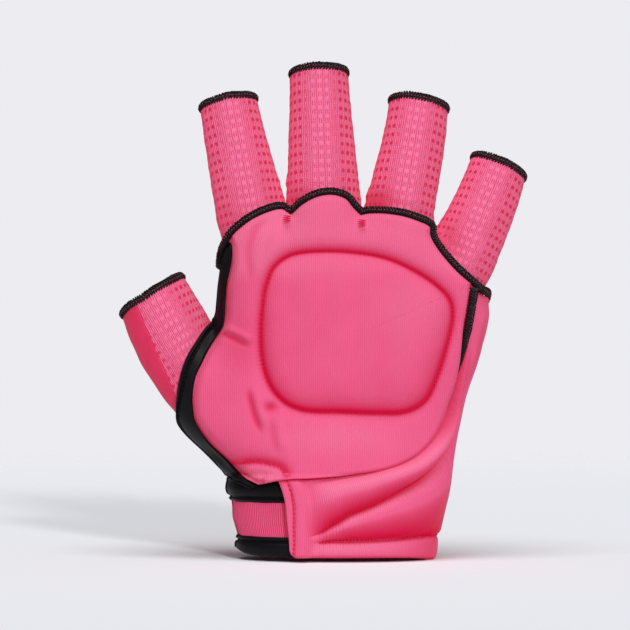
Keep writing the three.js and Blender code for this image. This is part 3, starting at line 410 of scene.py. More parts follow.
def smooth_run(points, count=None, closed=False, step=None):
    """Evenly spaced points along a smooth curve through the given ones."""
    p = np.array(points, float)
    if closed:
        p = np.concatenate([p[-2:], p, p[:3]])
    place = run_length(p)
    rows = {"place": place, **{k: p[:, k] for k in range(p.shape[1])}}
    first, last = (place[2], place[-3]) if closed else (place[0], place[-1])
    fine = np.linspace(first, last, 40 * len(p))
    curve = np.stack([read(rows, k, "place", fine) for k in range(p.shape[1])], -1)
    length = run_length(curve[:, :3])
    if step:
        count = max(int(round(length[-1] / step)), 2) + (not closed)
    return at_lengths(np.linspace(0, length[-1], count + closed)[:count], length, curve)


def cornered_run(points, corners, step, closed=False):
    """A run of evenly spaced points that turns sharply at its corners."""
    points = [tuple(p) for p in points]
    stops = sorted(set(corners) | ({0, len(points)} if closed else {0, len(points) - 1}))
    if closed:
        points = points + [points[0]]
    runs = [smooth_run(points[a:b + 1], step=step)[:-1] for a, b in zip(stops, stops[1:]) if b > a]
    if not closed:
        runs.append(np.array([points[-1]], float))
    return np.concatenate(runs)


def from_line(x, z, line, closed=False):
    """How far places are from a line, their side (positive is left of its way), and the length along it."""
    line = np.array(line, float)[:, :2]
    a = line if closed else line[:-1]
    b = np.roll(line, -1, axis=0) if closed else line[1:]
    way = b - a
    size = np.maximum(np.linalg.norm(way, axis=1), 1e-9)
    before = np.concatenate([[0], np.cumsum(size)])[:-1]
    shape, p = x.shape, np.stack([x.ravel(), z.ravel()], -1)
    near, side, along = (np.empty(len(p)) for _ in range(3))
    for start in range(0, len(p), 8000):
        part = p[start:start + 8000, None] - a[None]
        t = np.clip((part * way).sum(-1) / size ** 2, 0, 1)
        gap = part - t[..., None] * way
        far = (gap ** 2).sum(-1)
        k = far.argmin(1)
        rows = np.arange(len(k))
        near[start:start + 8000] = np.sqrt(far[rows, k])
        cross = way[k, 0] * part[rows, k, 1] - way[k, 1] * part[rows, k, 0]
        side[start:start + 8000] = np.sign(cross)
        along[start:start + 8000] = before[k] + t[rows, k] * size[k]
    return near.reshape(shape), side.reshape(shape), along.reshape(shape)


def ease(low, high, value):
    t = np.clip((value - low) / (high - low), 0, 1)
    return t * t * (3 - 2 * t)


def fading(distance, width, power=2):
    """1 at a place, dying away over a width."""
    return np.exp(-(distance / width) ** power)


def spot(x, z, place, size):
    """1 at a place seen from the front, dying away over a width and a height."""
    return np.exp(-(((x - place[0]) / size[0]) ** 2 + ((z - place[1]) / size[1]) ** 2))


def rounded(gap, radius):
    """The share of the full height that a rounded edge has at a gap from its end."""
    return np.sqrt(np.clip(1 - (1 - np.clip(gap / radius, 0, 1)) ** 2, 0, 1))


def beat(along, pitch, drift=0.0):
    """A wave of a pitch along a seam."""
    return np.sin(along * 2 * np.pi / pitch + drift)


def waves(x, z, size, seed, count=7):
    """A soft, uneven swell of about a size, between -1 and 1."""
    dice = np.random.default_rng(seed)
    total = 0
    for _ in range(count):
        angle, phase = dice.uniform(0, 2 * math.pi, 2)
        pitch = size * dice.uniform(0.6, 1.6)
        total = total + np.sin((x * math.cos(angle) + z * math.sin(angle)) * 2 * math.pi / pitch + phase)
    return total / count * 1.4


def swell(piece, x, z, seed=None):
    """The swell of a piece's cloth in millimetres."""
    size, height, *own = SWELL[piece]
    return height * waves(x, z, size, own[0] if own else seed)


def softened(rows):
    """Rows with a quarter of each neighbour in them."""
    return (np.roll(rows, 1, 0) + 2 * rows + np.roll(rows, -1, 0)) / 4


def some(total, count):
    """A count of whole numbers from 0 to below a total, evenly spread, with both ends."""
    return np.linspace(0, total - 1, count).round().astype(int)


# Meshes.

def grid_faces(rows, columns, wrap_rows, wrap_columns):
    i, j = np.meshgrid(np.arange(rows if wrap_rows else rows - 1),
                       np.arange(columns if wrap_columns else columns - 1), indexing="ij")
    corners = np.stack([np.stack([i + a, j + b], -1) for a, b in ((0, 0), (1, 0), (1, 1), (0, 1))], 2)
    return corners.reshape(-1, 4, 2)


def build(name, points, faces, finish, uv=None, marks=None):
    """A smooth-shaded mesh object in metres from millimetre points and four-cornered faces."""
    mesh = bpy.data.meshes.new(name)
    mesh.vertices.add(len(points))
    mesh.vertices.foreach_set("co", (np.asarray(points) * MM).astype(np.float32).ravel())
    mesh.loops.add(faces.size)
    mesh.loops.foreach_set("vertex_index", faces.astype(np.int32).ravel())
    mesh.polygons.add(len(faces))
    mesh.polygons.foreach_set("loop_start", np.arange(0, faces.size, 4, dtype=np.int32))
    mesh.polygons.foreach_set("use_smooth", np.ones(len(faces), bool))
    if uv is not None:
        mesh.uv_layers.new(name="UVMap").data.foreach_set("uv", uv.astype(np.float32).ravel())
    for key, values in (marks or {}).items():
        own = mesh.attributes.new(key, "FLOAT", "POINT")
        own.data.foreach_set("value", values.astype(np.float32).ravel())
    mesh.update(calc_edges=True)
    mesh.validate()
    obj = bpy.data.objects.new(name, mesh)
    bpy.context.scene.collection.objects.link(obj)
    mesh.materials.append(finish)
    return obj


def lay(name, points, finish, wrap=(False, False), uv=None, marks=None):
    """A sheet through a grid of points. uv is in millimetres, one row or column longer where it wraps."""
    rows, columns = points.shape[:2]
    corners = grid_faces(rows, columns, *wrap)
    faces = (corners[..., 0] % rows) * columns + corners[..., 1] % columns
    if uv is not None:
        uv = uv[np.minimum(corners[..., 0], uv.shape[0] - 1), np.minimum(corners[..., 1], uv.shape[1] - 1)]
    p = points.reshape(-1, 3)
    a, b, c = p[faces[:, 0]], p[faces[:, 1]], p[faces[:, 2]]
    if wrap[1] and np.einsum("ij,ij->i", a - p.mean(0), np.cross(b - a, c - a)).sum() < 0:
        faces = faces[:, ::-1]
        uv = None if uv is None else uv[:, ::-1]
    return build(name, p, faces, finish, uv, marks)


def shell(name, outer, inner, finish, closed=True, uv=None, marks=None):
    """A wall with an outside and an inside, joined round its edges."""
    marks = {"face": np.ones(outer.shape[:2]), **(marks or {})}
    loop = np.concatenate([outer, inner[:, ::-1]], axis=1)
    spare = inner.shape[1] + 1
    if uv is not None:
        uv = np.concatenate([uv, np.repeat(uv[:, -1:], spare, axis=1)], axis=1)
    marks = {key: np.concatenate([v, np.repeat(v[:, -1:] * (key != "face"), spare - 1, axis=1)], axis=1)
             for key, v in marks.items()}
    if not closed:
        half = outer.shape[1]
        ends = []
        for row in (0, -1):
            partner = some(inner.shape[1], half)
            back = some(half, inner.shape[1])[::-1]
            middle = (outer[row] + inner[row][partner]) / 2
            ends.append(np.concatenate([middle, middle[back]]))
        loop = np.concatenate([ends[0][None], loop, ends[1][None]])
        if uv is not None:
            uv = np.concatenate([uv[:1], uv, uv[-1:]])
        marks = {key: np.concatenate([v[:1], v, v[-1:]]) for key, v in marks.items()}
    return lay(name, loop, finish, (closed, True), uv, marks)


def weld_centre(obj):
    """Joins the points that meet at the middle of a round panel."""
    work = bmesh.new()
    work.from_mesh(obj.data)
    bmesh.ops.remove_doubles(work, verts=work.verts, dist=1e-7)
    work.to_mesh(obj.data)
    work.free()
    return obj


# How thin a thread ends, as a share of its thickness.
THREAD_END = 0.3


def threads(name, bundles, finish, sides=6):
    """Round threads. Each bundle is (paths, radius, closed) with paths of equally many points."""
    points, faces, uvs, count = [], [], [], 0
    for paths, radius, closed in bundles:
        paths = np.asarray(paths, float)
        n, m = paths.shape[:2]
        tangent = np.roll(paths, -1, 1) - np.roll(paths, 1, 1)
        if not closed:
            tangent[:, 0], tangent[:, -1] = paths[:, 1] - paths[:, 0], paths[:, -1] - paths[:, -2]
        tangent = unit(tangent)
        normal = np.zeros_like(paths)
        pick = np.where(np.abs(tangent[:, 0, 1:2]) < 0.8, (0, 1, 0), (1, 0, 0))
        normal[:, 0] = unit(np.cross(tangent[:, 0], pick))
        for j in range(1, m):
            v = normal[:, j - 1]
            normal[:, j] = unit(v - (v * tangent[:, j]).sum(-1, keepdims=True) * tangent[:, j])
        binormal = np.cross(tangent, normal)
        thick = np.broadcast_to(radius, (n, m)).astype(float).copy()
        if not closed:
            thick[:, 0], thick[:, -1] = thick[:, 0] * THREAD_END, thick[:, -1] * THREAD_END
        angle = 2 * np.pi * np.arange(sides) / sides
        ring = (np.cos(angle)[:, None] * normal[:, :, None] + np.sin(angle)[:, None] * binormal[:, :, None])
        ring = paths[:, :, None] + thick[..., None, None] * ring
        corners = grid_faces(m, sides, closed, True)
        one = (corners[..., 0] % m) * sides + corners[..., 1] % sides
        faces.append((one[None] + (count + np.arange(n) * m * sides)[:, None, None]).reshape(-1, 4))
        points.append(ring.reshape(-1, 3))
        count += n * m * sides
        length = run_length(paths, 1)
        if closed:
            length = np.concatenate([length, length[:, -1:] + 0.2], 1)
        along = length[:, corners[..., 0]]
        around = np.broadcast_to(corners[..., 1] / sides, along.shape)
        uvs.append(np.stack([along, around], -1).reshape(-1, 4, 2))
    return build(name, np.concatenate(points), np.concatenate(faces), finish, np.concatenate(uvs))


def stitch_row(points, normal, pitch, length, radius, sink, lean=0.0):
    """Lock stitches along a path, each a short thread that dips into the cloth at its two ends."""
    size = run_length(points)
    starts = np.arange(pitch * 0.3, size[-1] - length, pitch)
    share = np.linspace(-1, 1, 6)
    at = starts[:, None] + np.linspace(0, length, 6)[None]
    p = at_lengths(at, size, points)
    n = unit(at_lengths(at, size, normal))
    across = unit(np.cross(p[:, -1:] - p[:, :1], n))
    rise = radius * 0.7 - (radius + sink) * np.abs(share) ** 3
    return p + n * rise[None, :, None] + across * (lean * share)[None, :, None], radius, False


# Finishes.

def colour(code):
    """An sRGB hex colour as linear red, green, blue and alpha."""
    parts = [int(code[k:k + 2], 16) / 255 for k in (1, 3, 5)]
    return tuple(c / 12.92 if c <= 0.04045 else ((c + 0.055) / 1.055) ** 2.4 for c in parts) + (1.0,)


def add(tree, kind, **values):
    """A node. Small-letter values are its settings; the others are inputs, by name with _ for a space or by
    place as i0. An input takes a plain value, a socket, or a node, which stands for its first output."""
    node = tree.nodes.new("ShaderNode" + kind)
    settings = [key for key in values if key[0].islower() and not key[1:].isdigit()]
    for key in settings:
        setattr(node, key, values.pop(key))
    for key, value in values.items():
        if key[1:].isdigit():
            socket = node.inputs[int(key[1:])]
        else:
            socket = next(s for s in node.inputs if s.enabled and s.name == key.replace("_", " "))
        if isinstance(value, bpy.types.Node):
            value = next(s for s in value.outputs if s.enabled)
        if isinstance(value, bpy.types.NodeSocket):
            tree.links.new(value, socket)
        else:
            socket.default_value = value
    return node


def finish(name, slot=None):
    material = bpy.data.materials.new(name)
    material.use_nodes = True
    material.node_tree.nodes.clear()
    if slot:
        material["slot"] = slot
    return material, material.node_tree


def surfaced(material, **inputs):
    """Closes a material with its surface, and gives it back."""
    shader = add(material.node_tree, "BsdfPrincipled", **inputs)
    add(material.node_tree, "OutputMaterial", Surface=shader)
    return material


# Spacings in millimetres. Real wales are finer than the picture can show, so they are drawn at the finest
# pitch that it does. Noise on cloth is scaled in grains a millimetre.
TURN = 2 * math.pi
WALE_PITCH, RIB_PITCH, COURSE_PITCH, WEFT_PITCH, PLY_PITCH = 0.8, 0.82, 0.62, 0.55, 0.45
# A red glow is painted into the pink cloth as emission: painted light that keeps its shaded folds bright and
# red, deeper red where painted shade is marked.
PAINTED_RED_GLOW, PAINTED_SHADE_GLOW = colour("#c80028"), colour("#f4003c")
PAINTED_GLOW = 0.43
# The loose fibre ends that stand off brushed cloth are lighter than the cloth.
FIBRE_TIPS = colour("#ffc4d4")


def painted_glow_colour(tree, mark="painted_shade"):
    """The painted glow's colour: red on the outer face, fuller where its painted shade or glow mark is set,
    none on the inner face.
    """
    painted_shade = add(tree, "Attribute", attribute_name=mark)
    red = add(tree, "Mix", data_type="RGBA", Factor=painted_shade.outputs["Fac"], A=PAINTED_RED_GLOW, B=PAINTED_SHADE_GLOW)
    face = add(tree, "Attribute", attribute_name="face")
    return add(tree, "Mix", data_type="RGBA", Factor=face.outputs["Fac"], A=(0, 0, 0, 1), B=red).outputs[2]


def black_jersey():
    """Thin black lining knit, quite matt, with a fine grain that is just lighter than black."""
    material, tree = finish("black_lining_jersey", "knit")
    place = add(tree, "TexCoord").outputs["Object"]
    grain = add(tree, "TexNoise", Vector=place, Scale=2.2 / MM, Detail=2)
    tone = add(tree, "Mix", data_type="RGBA", Factor=grain, A=colour("#070506"), B=colour("#1a1114"))
    bump = add(tree, "Bump", Height=grain, Strength=0.4, Distance=0.1 * MM)
    return surfaced(material, Base_Color=tone, Roughness=0.9, Normal=bump, Specular_IOR_Level=0.2)


def jersey_faced_foam():
    """Soft foam faced with brushed nylon jersey: matt pink, fine upright wales, faint grain, a soft bloom;
    with painted shade in its grooves and folds, a lighter painted highlight on its fullest parts and a
    painted red glow.
    """
    material, tree = finish("jersey_faced_foam", "neoprene")
    place = add(tree, "UVMap", uv_map="UVMap")
    split = add(tree, "SeparateXYZ", Vector=place)
    drift = add(tree, "TexNoise", noise_dimensions="3D", Vector=place, Scale=0.35, Detail=2)
    warp = add(tree, "Math", operation="MULTIPLY_ADD", i0=drift, i1=0.9, i2=split)
    wale = add(tree, "Math", operation="MULTIPLY", i0=warp, i1=TURN / WALE_PITCH)
    wale = add(tree, "Math", operation="SINE", i0=wale)
    grain = add(tree, "TexNoise", Vector=place, Scale=2.6, Detail=3, Roughness=0.7)
    blotch = add(tree, "TexNoise", Vector=place, Scale=0.09, Detail=3)
    painted_shade = add(tree, "Attribute", attribute_name="painted_shade")
    crown = add(tree, "Attribute", attribute_name="crown")
    plain = add(tree, "Mix", data_type="RGBA", Factor=blotch, A=colour("#b44e74"), B=colour("#be5980"))
    # Painted highlight: a lighter pink where the crown mark is set.
    tint = add(tree, "Mix", data_type="RGBA", Factor=crown.outputs["Fac"], A=plain, B=colour("#bd6889"))
    lines = add(tree, "Math", operation="MULTIPLY_ADD", i0=wale, i1=0.11, i2=0.5)
    lines = add(tree, "Math", operation="MULTIPLY_ADD", i0=grain, i1=0.5, i2=lines)
    shade = add(tree, "MapRange", Value=lines, From_Min=0.45, From_Max=1.05, To_Min=0.8, To_Max=1.2)
    worked = add(tree, "Mix", data_type="RGBA", blend_type="MULTIPLY", Factor=1, A=tint, B=shade)
    # Painted shade: a deep red where the painted shade mark is set.
    deep = add(tree, "Mix", data_type="RGBA", Factor=painted_shade.outputs["Fac"], A=worked, B=colour("#84002c"))
    height = add(tree, "Math", operation="MULTIPLY_ADD", i0=wale, i1=0.5, i2=grain)
    bump = add(tree, "Bump", Height=height, Strength=0.5, Distance=0.2 * MM)
    return surfaced(material, Base_Color=deep, Roughness=0.82, Normal=bump, Specular_IOR_Level=0.1,
                    Sheen_Weight=0.14, Sheen_Roughness=0.4, Sheen_Tint=FIBRE_TIPS,
                    Emission_Color=painted_glow_colour(tree), Emission_Strength=PAINTED_GLOW)


def ribbed_knit():
    """Fine rib knit in nylon: upright light ribs with redder furrows between, and small printed grip dots
    that are painted lighter on the front and darker round the sides; painted shade at the sleeves' feet and a
    painted red glow.
    """
    material, tree = finish("ribbed_knit", "knit")
    place = add(tree, "UVMap", uv_map="UVMap")
    split = add(tree, "SeparateXYZ", Vector=place)
    drift = add(tree, "TexNoise", Vector=place, Scale=0.5, Detail=2)
    warp = add(tree, "Math", operation="MULTIPLY_ADD", i0=drift, i1=0.5, i2=split)
    rib = add(tree, "Math", operation="MULTIPLY", i0=warp, i1=TURN / RIB_PITCH)
    rib = add(tree, "Math", operation="SINE", i0=rib)
    course = add(tree, "Math", operation="MULTIPLY", i0=split.outputs[1], i1=TURN / COURSE_PITCH)
    course = add(tree, "Math", operation="SINE", i0=course)
    stretch = add(tree, "VectorMath", operation="MULTIPLY", i0=place, i1=(1.6, 0.25, 1))
    streak = add(tree, "TexNoise", Vector=stretch, Scale=1, Detail=3, Roughness=0.7)
    relief = add(tree, "Math", operation="MULTIPLY_ADD", i0=course, i1=0.22, i2=rib)
    relief = add(tree, "Math", operation="MULTIPLY_ADD", i0=streak, i1=2.4, i2=relief)
    furrow = add(tree, "MapRange", Value=relief, From_Min=-0.2, From_Max=2.2, To_Min=0, To_Max=1)
    yarn = add(tree, "Mix", data_type="RGBA", Factor=furrow, A=colour("#a83260"), B=colour("#d27099"))
    dot = add(tree, "Attribute", attribute_name="dot").outputs["Fac"]
    painted_side_shade = add(tree, "Attribute", attribute_name="painted_side_shade").outputs["Fac"]
    # Painted highlight and shade on the dots: lighter on the front, deep red round the sides.
    gel = add(tree, "Mix", data_type="RGBA", Factor=painted_side_shade, A=colour("#c06386"), B=colour("#960836"))
    body = add(tree, "Mix", data_type="RGBA", Factor=dot, A=yarn, B=gel)
    root = add(tree, "Attribute", attribute_name="painted_shade").outputs["Fac"]
    # Painted shade where the painted shade mark is set.
    shaded = add(tree, "Mix", data_type="RGBA", Factor=root, A=body, B=colour("#8c0430"))
    plain = add(tree, "Math", operation="SUBTRACT", i0=1, i1=dot)
    bump = add(tree, "Bump", Height=relief, Strength=plain, Distance=0.12 * MM)
    rough = add(tree, "MapRange", Value=dot, To_Min=0.85, To_Max=0.7)
    return surfaced(material, Base_Color=shaded, Roughness=rough, Normal=bump, Sheen_Weight=0.2,
                    Sheen_Roughness=0.4, Sheen_Tint=FIBRE_TIPS, Emission_Color=painted_glow_colour(tree, "lit"),
                    Emission_Strength=PAINTED_GLOW)


def brushed_microfibre():
    """Thin synthetic suede in a deeper pink: matt and even, with a short nap that clouds slightly, and a
    painted red glow that is fuller where painted shade is marked.
    """
    material, tree = finish("brushed_microfibre", "smooth")
    place = add(tree, "UVMap", uv_map="UVMap")
    nap = add(tree, "TexNoise", Vector=place, Scale=0.2, Detail=4)
    fibre = add(tree, "TexNoise", Vector=place, Scale=5, Detail=2)
    tone = add(tree, "Mix", data_type="RGBA", Factor=nap, A=colour("#ae1646"), B=colour("#bc2757"))
    bump = add(tree, "Bump", Height=fibre, Strength=0.3, Distance=0.1 * MM)
    return surfaced(material, Base_Color=tone, Roughness=0.75, Normal=bump, Sheen_Weight=0.3,
                    Sheen_Roughness=0.35, Sheen_Tint=colour("#ffb0c8"), Emission_Color=painted_glow_colour(tree),
                    Emission_Strength=PAINTED_GLOW * 0.9)


def coated_leather():
    """Black polyurethane-coated synthetic leather: a fine pebble, a soft satin light on its rolled edges."""
    material, tree = finish("coated_leather", "binding")
    place = add(tree, "TexCoord").outputs["Object"]
    pebble = add(tree, "TexVoronoi", feature="DISTANCE_TO_EDGE", Vector=place, Scale=1.6 / MM)
    cloud = add(tree, "TexNoise", Vector=place, Scale=0.18 / MM, Detail=3)
    tone = add(tree, "Mix", data_type="RGBA", Factor=cloud, A=colour("#050405"), B=colour("#0f0c10"))
    bump = add(tree, "Bump", Height=pebble, Strength=0.25, Distance=0.1 * MM)
    rough = add(tree, "MapRange", Value=cloud, To_Min=0.42, To_Max=0.56)
    return surfaced(material, Base_Color=tone, Roughness=rough, Normal=bump, Specular_IOR_Level=0.12)


def ribbed_elastic():
    """Woven elastic: upright covered rubber ribs in a cooler pink, darker where the weft dips between, with a
    painted red glow.
    """
    material, tree = finish("ribbed_elastic", "elastic")
    place = add(tree, "UVMap", uv_map="UVMap")
    split = add(tree, "SeparateXYZ", Vector=place)
    weft = add(tree, "Math", operation="MULTIPLY", i0=split.outputs[1], i1=TURN / WEFT_PITCH)
    weft = add(tree, "Math", operation="SINE", i0=weft)
    grain = add(tree, "TexNoise", Vector=place, Scale=2.2, Detail=3)
    rib = add(tree, "Attribute", attribute_name="rib").outputs["Fac"]
    tone = add(tree, "Mix", data_type="RGBA", Factor=rib, A=colour("#981442"), B=colour("#cf5080"))
    relief = add(tree, "Math", operation="MULTIPLY_ADD", i0=weft, i1=0.3, i2=grain)
    bump = add(tree, "Bump", Height=relief, Strength=0.4, Distance=0.12 * MM)
    return surfaced(material, Base_Color=tone, Roughness=0.75, Normal=bump, Sheen_Weight=0.15,
                    Emission_Color=painted_glow_colour(tree), Emission_Strength=PAINTED_GLOW * 0.7)


def overlock_thread(name, tone, painted_glow_strength):
    """Textured polyester overlock thread: twisted plies that catch small lights on their turns, with a
    painted red glow of the given strength.
    """
    material, tree = finish(name, "thread")
    place = add(tree, "UVMap", uv_map="UVMap")
    split = add(tree, "SeparateXYZ", Vector=place)
    ply = add(tree, "Math", operation="MULTIPLY_ADD", i0=split, i1=TURN / PLY_PITCH, i2=split.outputs[1])
    turn = add(tree, "Math", operation="MULTIPLY_ADD", i0=split.outputs[1], i1=2 * TURN, i2=ply)
    twist = add(tree, "Math", operation="SINE", i0=turn)
    bump = add(tree, "Bump", Height=twist, Strength=0.5, Distance=0.05 * MM)
    return surfaced(material, Base_Color=colour(tone), Roughness=0.5, Normal=bump, Specular_IOR_Level=0.25,
                    Emission_Color=PAINTED_RED_GLOW, Emission_Strength=painted_glow_strength)


def seam_core():
    """The cut edge inside the overlock: closely packed black looper thread, with specks of pink cloth."""
    material, tree = finish("overlocked_edge", "thread")
    place = add(tree, "TexCoord").outputs["Object"]
    speck = add(tree, "TexNoise", Vector=place, Scale=1.5 / MM, Detail=2)
    step = add(tree, "MapRange", Value=speck, From_Min=0.6, From_Max=0.66, To_Min=0, To_Max=1)
    tone = add(tree, "Mix", data_type="RGBA", Factor=step, A=colour("#080506"), B=colour("#7a1c3c"))
    return surfaced(material, Base_Color=tone, Roughness=0.8)


FOAM, KNIT, SUEDE = jersey_faced_foam(), ribbed_knit(), brushed_microfibre()
LEATHER, WEBBING, CORE = coated_leather(), ribbed_elastic(), seam_core()
BLACK_KNIT = black_jersey()
# The pink thread carries the cloth's painted red glow, the red-brown looper a faint painted glow, the black
# thread none.
BLACK_THREAD = overlock_thread("black_overlock_thread", "#0a0608", 0.0)
PINK_THREAD = overlock_thread("pink_sewing_thread", "#a00c3a", PAINTED_GLOW)
RED_THREAD = overlock_thread("red_brown_looper_thread", "#8c3a52", 0.08)


def keep(obj, *nodes):
    """The piece moves with the glove and stands for its solids."""
    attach(obj, "root")
    if nodes:
        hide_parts(*nodes)
    return obj


# Knitted digits.

DOT = dict(pitch=3.35, across=2.75, size=0.84, height=0.07)
SLEEVE_WALL = 1.3
# How deep the shade is at a sleeve's foot, on the side towards the thumb.
ROOT_SHADE = dict(index=0.2, middle=0.75, ring=0.85, little=0.45)
# Half the gap between the two parts of the thumb's tube, in degrees.
SEAM_GAP = 0.6


def grip_dots(u, v):
    """Rows of small rounded squares: how much of a dot is at each place, 0 to 1."""
    du = (u / DOT["across"] + 0.5) % 1 * DOT["across"] - DOT["across"] / 2
    dv = (v / DOT["pitch"] + 0.5) % 1 * DOT["pitch"] - DOT["pitch"] / 2
    r = (np.abs(du) ** 3 + np.abs(dv) ** 3) ** (1 / 3)
    return 1 - ease(DOT["size"] * 0.72, DOT["size"] * 1.12, r)


def number_of(name):
    """A number of a name's own, for the dice of its swell."""
    return sum(map(ord, name))


digit_wall = {
    name: Wall(digit_form(name), digit_rays(digit), (0, 360, 61), (-12, digit["length"] + 1, 30),
               (-2.0, -0.6, 0.9), wrap=True)
    for name, digit in DIGITS.items()
}


def sleeve(name, first, last, columns, rows, cloth):
    """A digit's sleeve, or the part of it between two angles that may shift along it."""
    digit, wall = DIGITS[name], digit_wall[name]
    closed, knit = name in FINGERS, cloth is KNIT
    share = np.linspace(0, 1, rows)[None]
    theta = mixed(0 * share + first, 0 * share + last, np.linspace(0, 1, columns + 1)[:, None])
    near_side, far_side = digit["start"]
    start = near_side + (far_side - near_side) * (np.cos(np.radians(theta)) + 1) / 2
    v = mixed(start, digit["length"] - TIP_HEM * 0.6, share)
    girth = run_length(wall(theta, v, 0))
    u = girth - girth[np.abs(theta[:, rows // 2] % 360 - 270).argmin()][None]
    dot = grip_dots(u, v) if knit else 0 * u
    level = dot * DOT["height"] + swell("sleeve", u * 0.6, v, number_of(name))
    rim = 0.9 * (1 - ease(0, 0.03, share)) if closed else 0
    outer = wall(theta, v, level - rim)
    pick = some(rows, 14)
    inner = wall(theta[:, pick], v[:, pick], -SLEEVE_WALL)
    if closed:
        outer, inner, dot = outer[:-1], inner[:-1], dot[:-1]
    # Painted light on the knit: a painted glow on both flanks, fuller on the thumb's side; painted shade at
    # the sleeve's foot and on the flank away from the thumb; the dots lighter on the front and darker round
    # the sides.
    side = ((theta + 90 + 180) % 360 - 180)[:len(dot)]
    painted_side_shade = ease(10, 48, np.abs(side))
    lit = np.maximum(0.85 * ease(20, 75, -side), 0.3 * ease(20, 75, side))
    root = ROOT_SHADE.get(name, 0) * (1 - ease(12, 25, v)) * (1 - ease(-9, 3, u))
    root = root[:len(dot)]
    deep = np.maximum(root, 0.16 * painted_side_shade * (side > 0))
    marks = {"dot": dot, "painted_side_shade": painted_side_shade, "painted_shade": deep, "lit": np.maximum(root, lit)}
    label = f"{name}_{'knit' if knit else 'side'}"
    return shell(label, outer, inner, cloth, closed, np.stack([u, v], -1), marks)


def thumb_seam(rows, gap):
    """The angle of the thumb's outer seam along it, with a gap to one side."""
    cosine = mixed(THUMB_SEAM["root"], THUMB_SEAM["tip"], np.linspace(0, 1, rows))
    return gap - np.degrees(np.arccos(cosine))


for name in FINGERS:
    keep(sleeve(name, 0, 360, 232, 150, KNIT), f"{name}_sleeve")
keep(sleeve("thumb", thumb_seam(130, SEAM_GAP), THUMB_SEAM["under"], 120, 130, KNIT), "thumb_sleeve")
keep(sleeve("thumb", THUMB_SEAM["under"] + SEAM_GAP - 360, thumb_seam(60, -SEAM_GAP), 110, 60, SUEDE),
     "thumb_side_panel")


# Overlocked edges.

# Radii of the two looper threads and of the specks between them, how far a loop runs and turns, how unevenly.
LOOPER = dict(lower=0.42, upper=0.4, speck=0.21, span=1.25, turn=120, uneven=0.04)
SPECKS = []
# The angles at which the lower and the upper loops start, and what part of a pitch the upper ones lag.
LOWER_FROM, UPPER_FROM, UPPER_LAG = 212, 88, 0.35


def overlock(path, out, half_width, half_height, pitch, closed):
    """Looper threads that cross over an edge. The specks of cloth between them are gathered for later."""
    size = run_length(path)
    total = size[-1] + (np.linalg.norm(path[0] - path[-1]) if closed else 0)
    halves = [np.broadcast_to(half, len(path))[:, None] for half in (half_width, half_height)]
    run = np.concatenate([path, out, *halves], axis=1)
    if closed:
        run, size = np.concatenate([run, run[:1]]), np.append(size, total)

    def onto(length):
        return length % total if closed else np.clip(length, 0, total)

    def at(length, angle, grown):
        place = onto(length)
        here = at_lengths(place, size, run)
        ahead = at_lengths(onto(place + 0.4), size, run)
        middle, normal = here[..., :3], unit(here[..., 3:6])
        across = unit(np.cross(unit(ahead[..., :3] - middle), normal))
        wide, high = np.cos(angle) * (here[..., 6] + grown), np.sin(angle) * (here[..., 7] + grown)
        return middle + (across * wide[..., None] + normal * high[..., None])

    count = int(total / pitch)
    start = (np.arange(count) * total / count + RANDOM.normal(0, pitch * 0.06, count))[:, None]
    turn = np.linspace(0, 1, 12)[None]
    lower = at(start + turn * LOOPER["span"] * pitch, np.radians(LOWER_FROM - LOOPER["turn"] * turn), 0)
    back = start + (UPPER_LAG + LOOPER["span"] * (1 - turn)) * pitch
    upper = at(back, np.radians(UPPER_FROM - LOOPER["turn"] * turn), 0)
    lower += RANDOM.normal(0, LOOPER["uneven"], (count, 1, 3))
    upper += RANDOM.normal(0, LOOPER["uneven"], (count, 1, 3))
    few = turn[:, ::3]
    specks = at(start + (0.5 + 0.5 * few) * pitch, np.radians(90) + 0 * few, 0.3)
    SPECKS.append((specks + RANDOM.normal(0, 0.1, (count, 1, 3)), LOOPER["speck"], False))
    return [(lower, LOOPER["lower"], False), (upper, LOOPER["upper"], False)]


def rolled_edge(path, out, half_width, half_height, around, closed):
    """The padded edge under the threads, an oval cord."""
    ahead = np.roll(path, -1, 0) - np.roll(path, 1, 0) if closed else np.gradient(path, axis=0)
    b = unit(np.cross(unit(ahead), out))
    angle = 2 * np.pi * np.arange(around) / around
    w, h = (np.broadcast_to(v, len(path))[:, None, None] for v in (half_width, half_height))
    c, s = np.cos(angle)[:, None], np.sin(angle)[:, None]
    return path[:, None] + b[:, None] * (c * w) + out[:, None] * (s * h)


def sewn_edge(name, node, path, out, core, loops, around=12, pitch=1.05, closed=True):
    """An overlocked edge: its cord and its threads, each with a half-width and a half-height."""
    keep(lay(f"{name}_core", rolled_edge(path, out, *core, around, closed), CORE, (closed, True)), node)
    keep(threads(f"{name}_threads", overlock(path, out, *loops, pitch, closed), BLACK_THREAD, 5))


def hem_ring(name):
    theta = np.linspace(0, 360, 121)[:-1]
    around = np.radians(theta)
    dip = swell("hem", np.cos(around) * 12, np.sin(around) * 12, number_of(name) + 5)
    s = DIGITS[name]["length"] - TIP_HEM / 2 + dip
    middle = digit_wall[name](theta, s, -0.75)
    return middle, unit(digit_wall[name](theta, s, 0.9) - middle)


for name in DIGITS:
    sewn_edge(f"{name}_hem", f"{name}_tip_hem", *hem_ring(name), (TIP_HEM / 2 - 0.5, 1.1),
              (TIP_HEM / 2 - 0.25, 1.2), around=16)


# The padded back.

# Sewn lines: the stitches' spacing and length, the thread's radius, how deep they dip and how far they lean.
STITCH = dict(back=(1.7, 1.15, 0.2, 0.2), binding=(1.75, 1.2, 0.2, 0.25), strap_end=(1.7, 1.1, 0.26, 0.1),
              strap_hem=(1.8, 1.2, 0.24, 0.1, 0.2), strap_fold=(1.8, 1.2, 0.24, 0.1, 0.15))
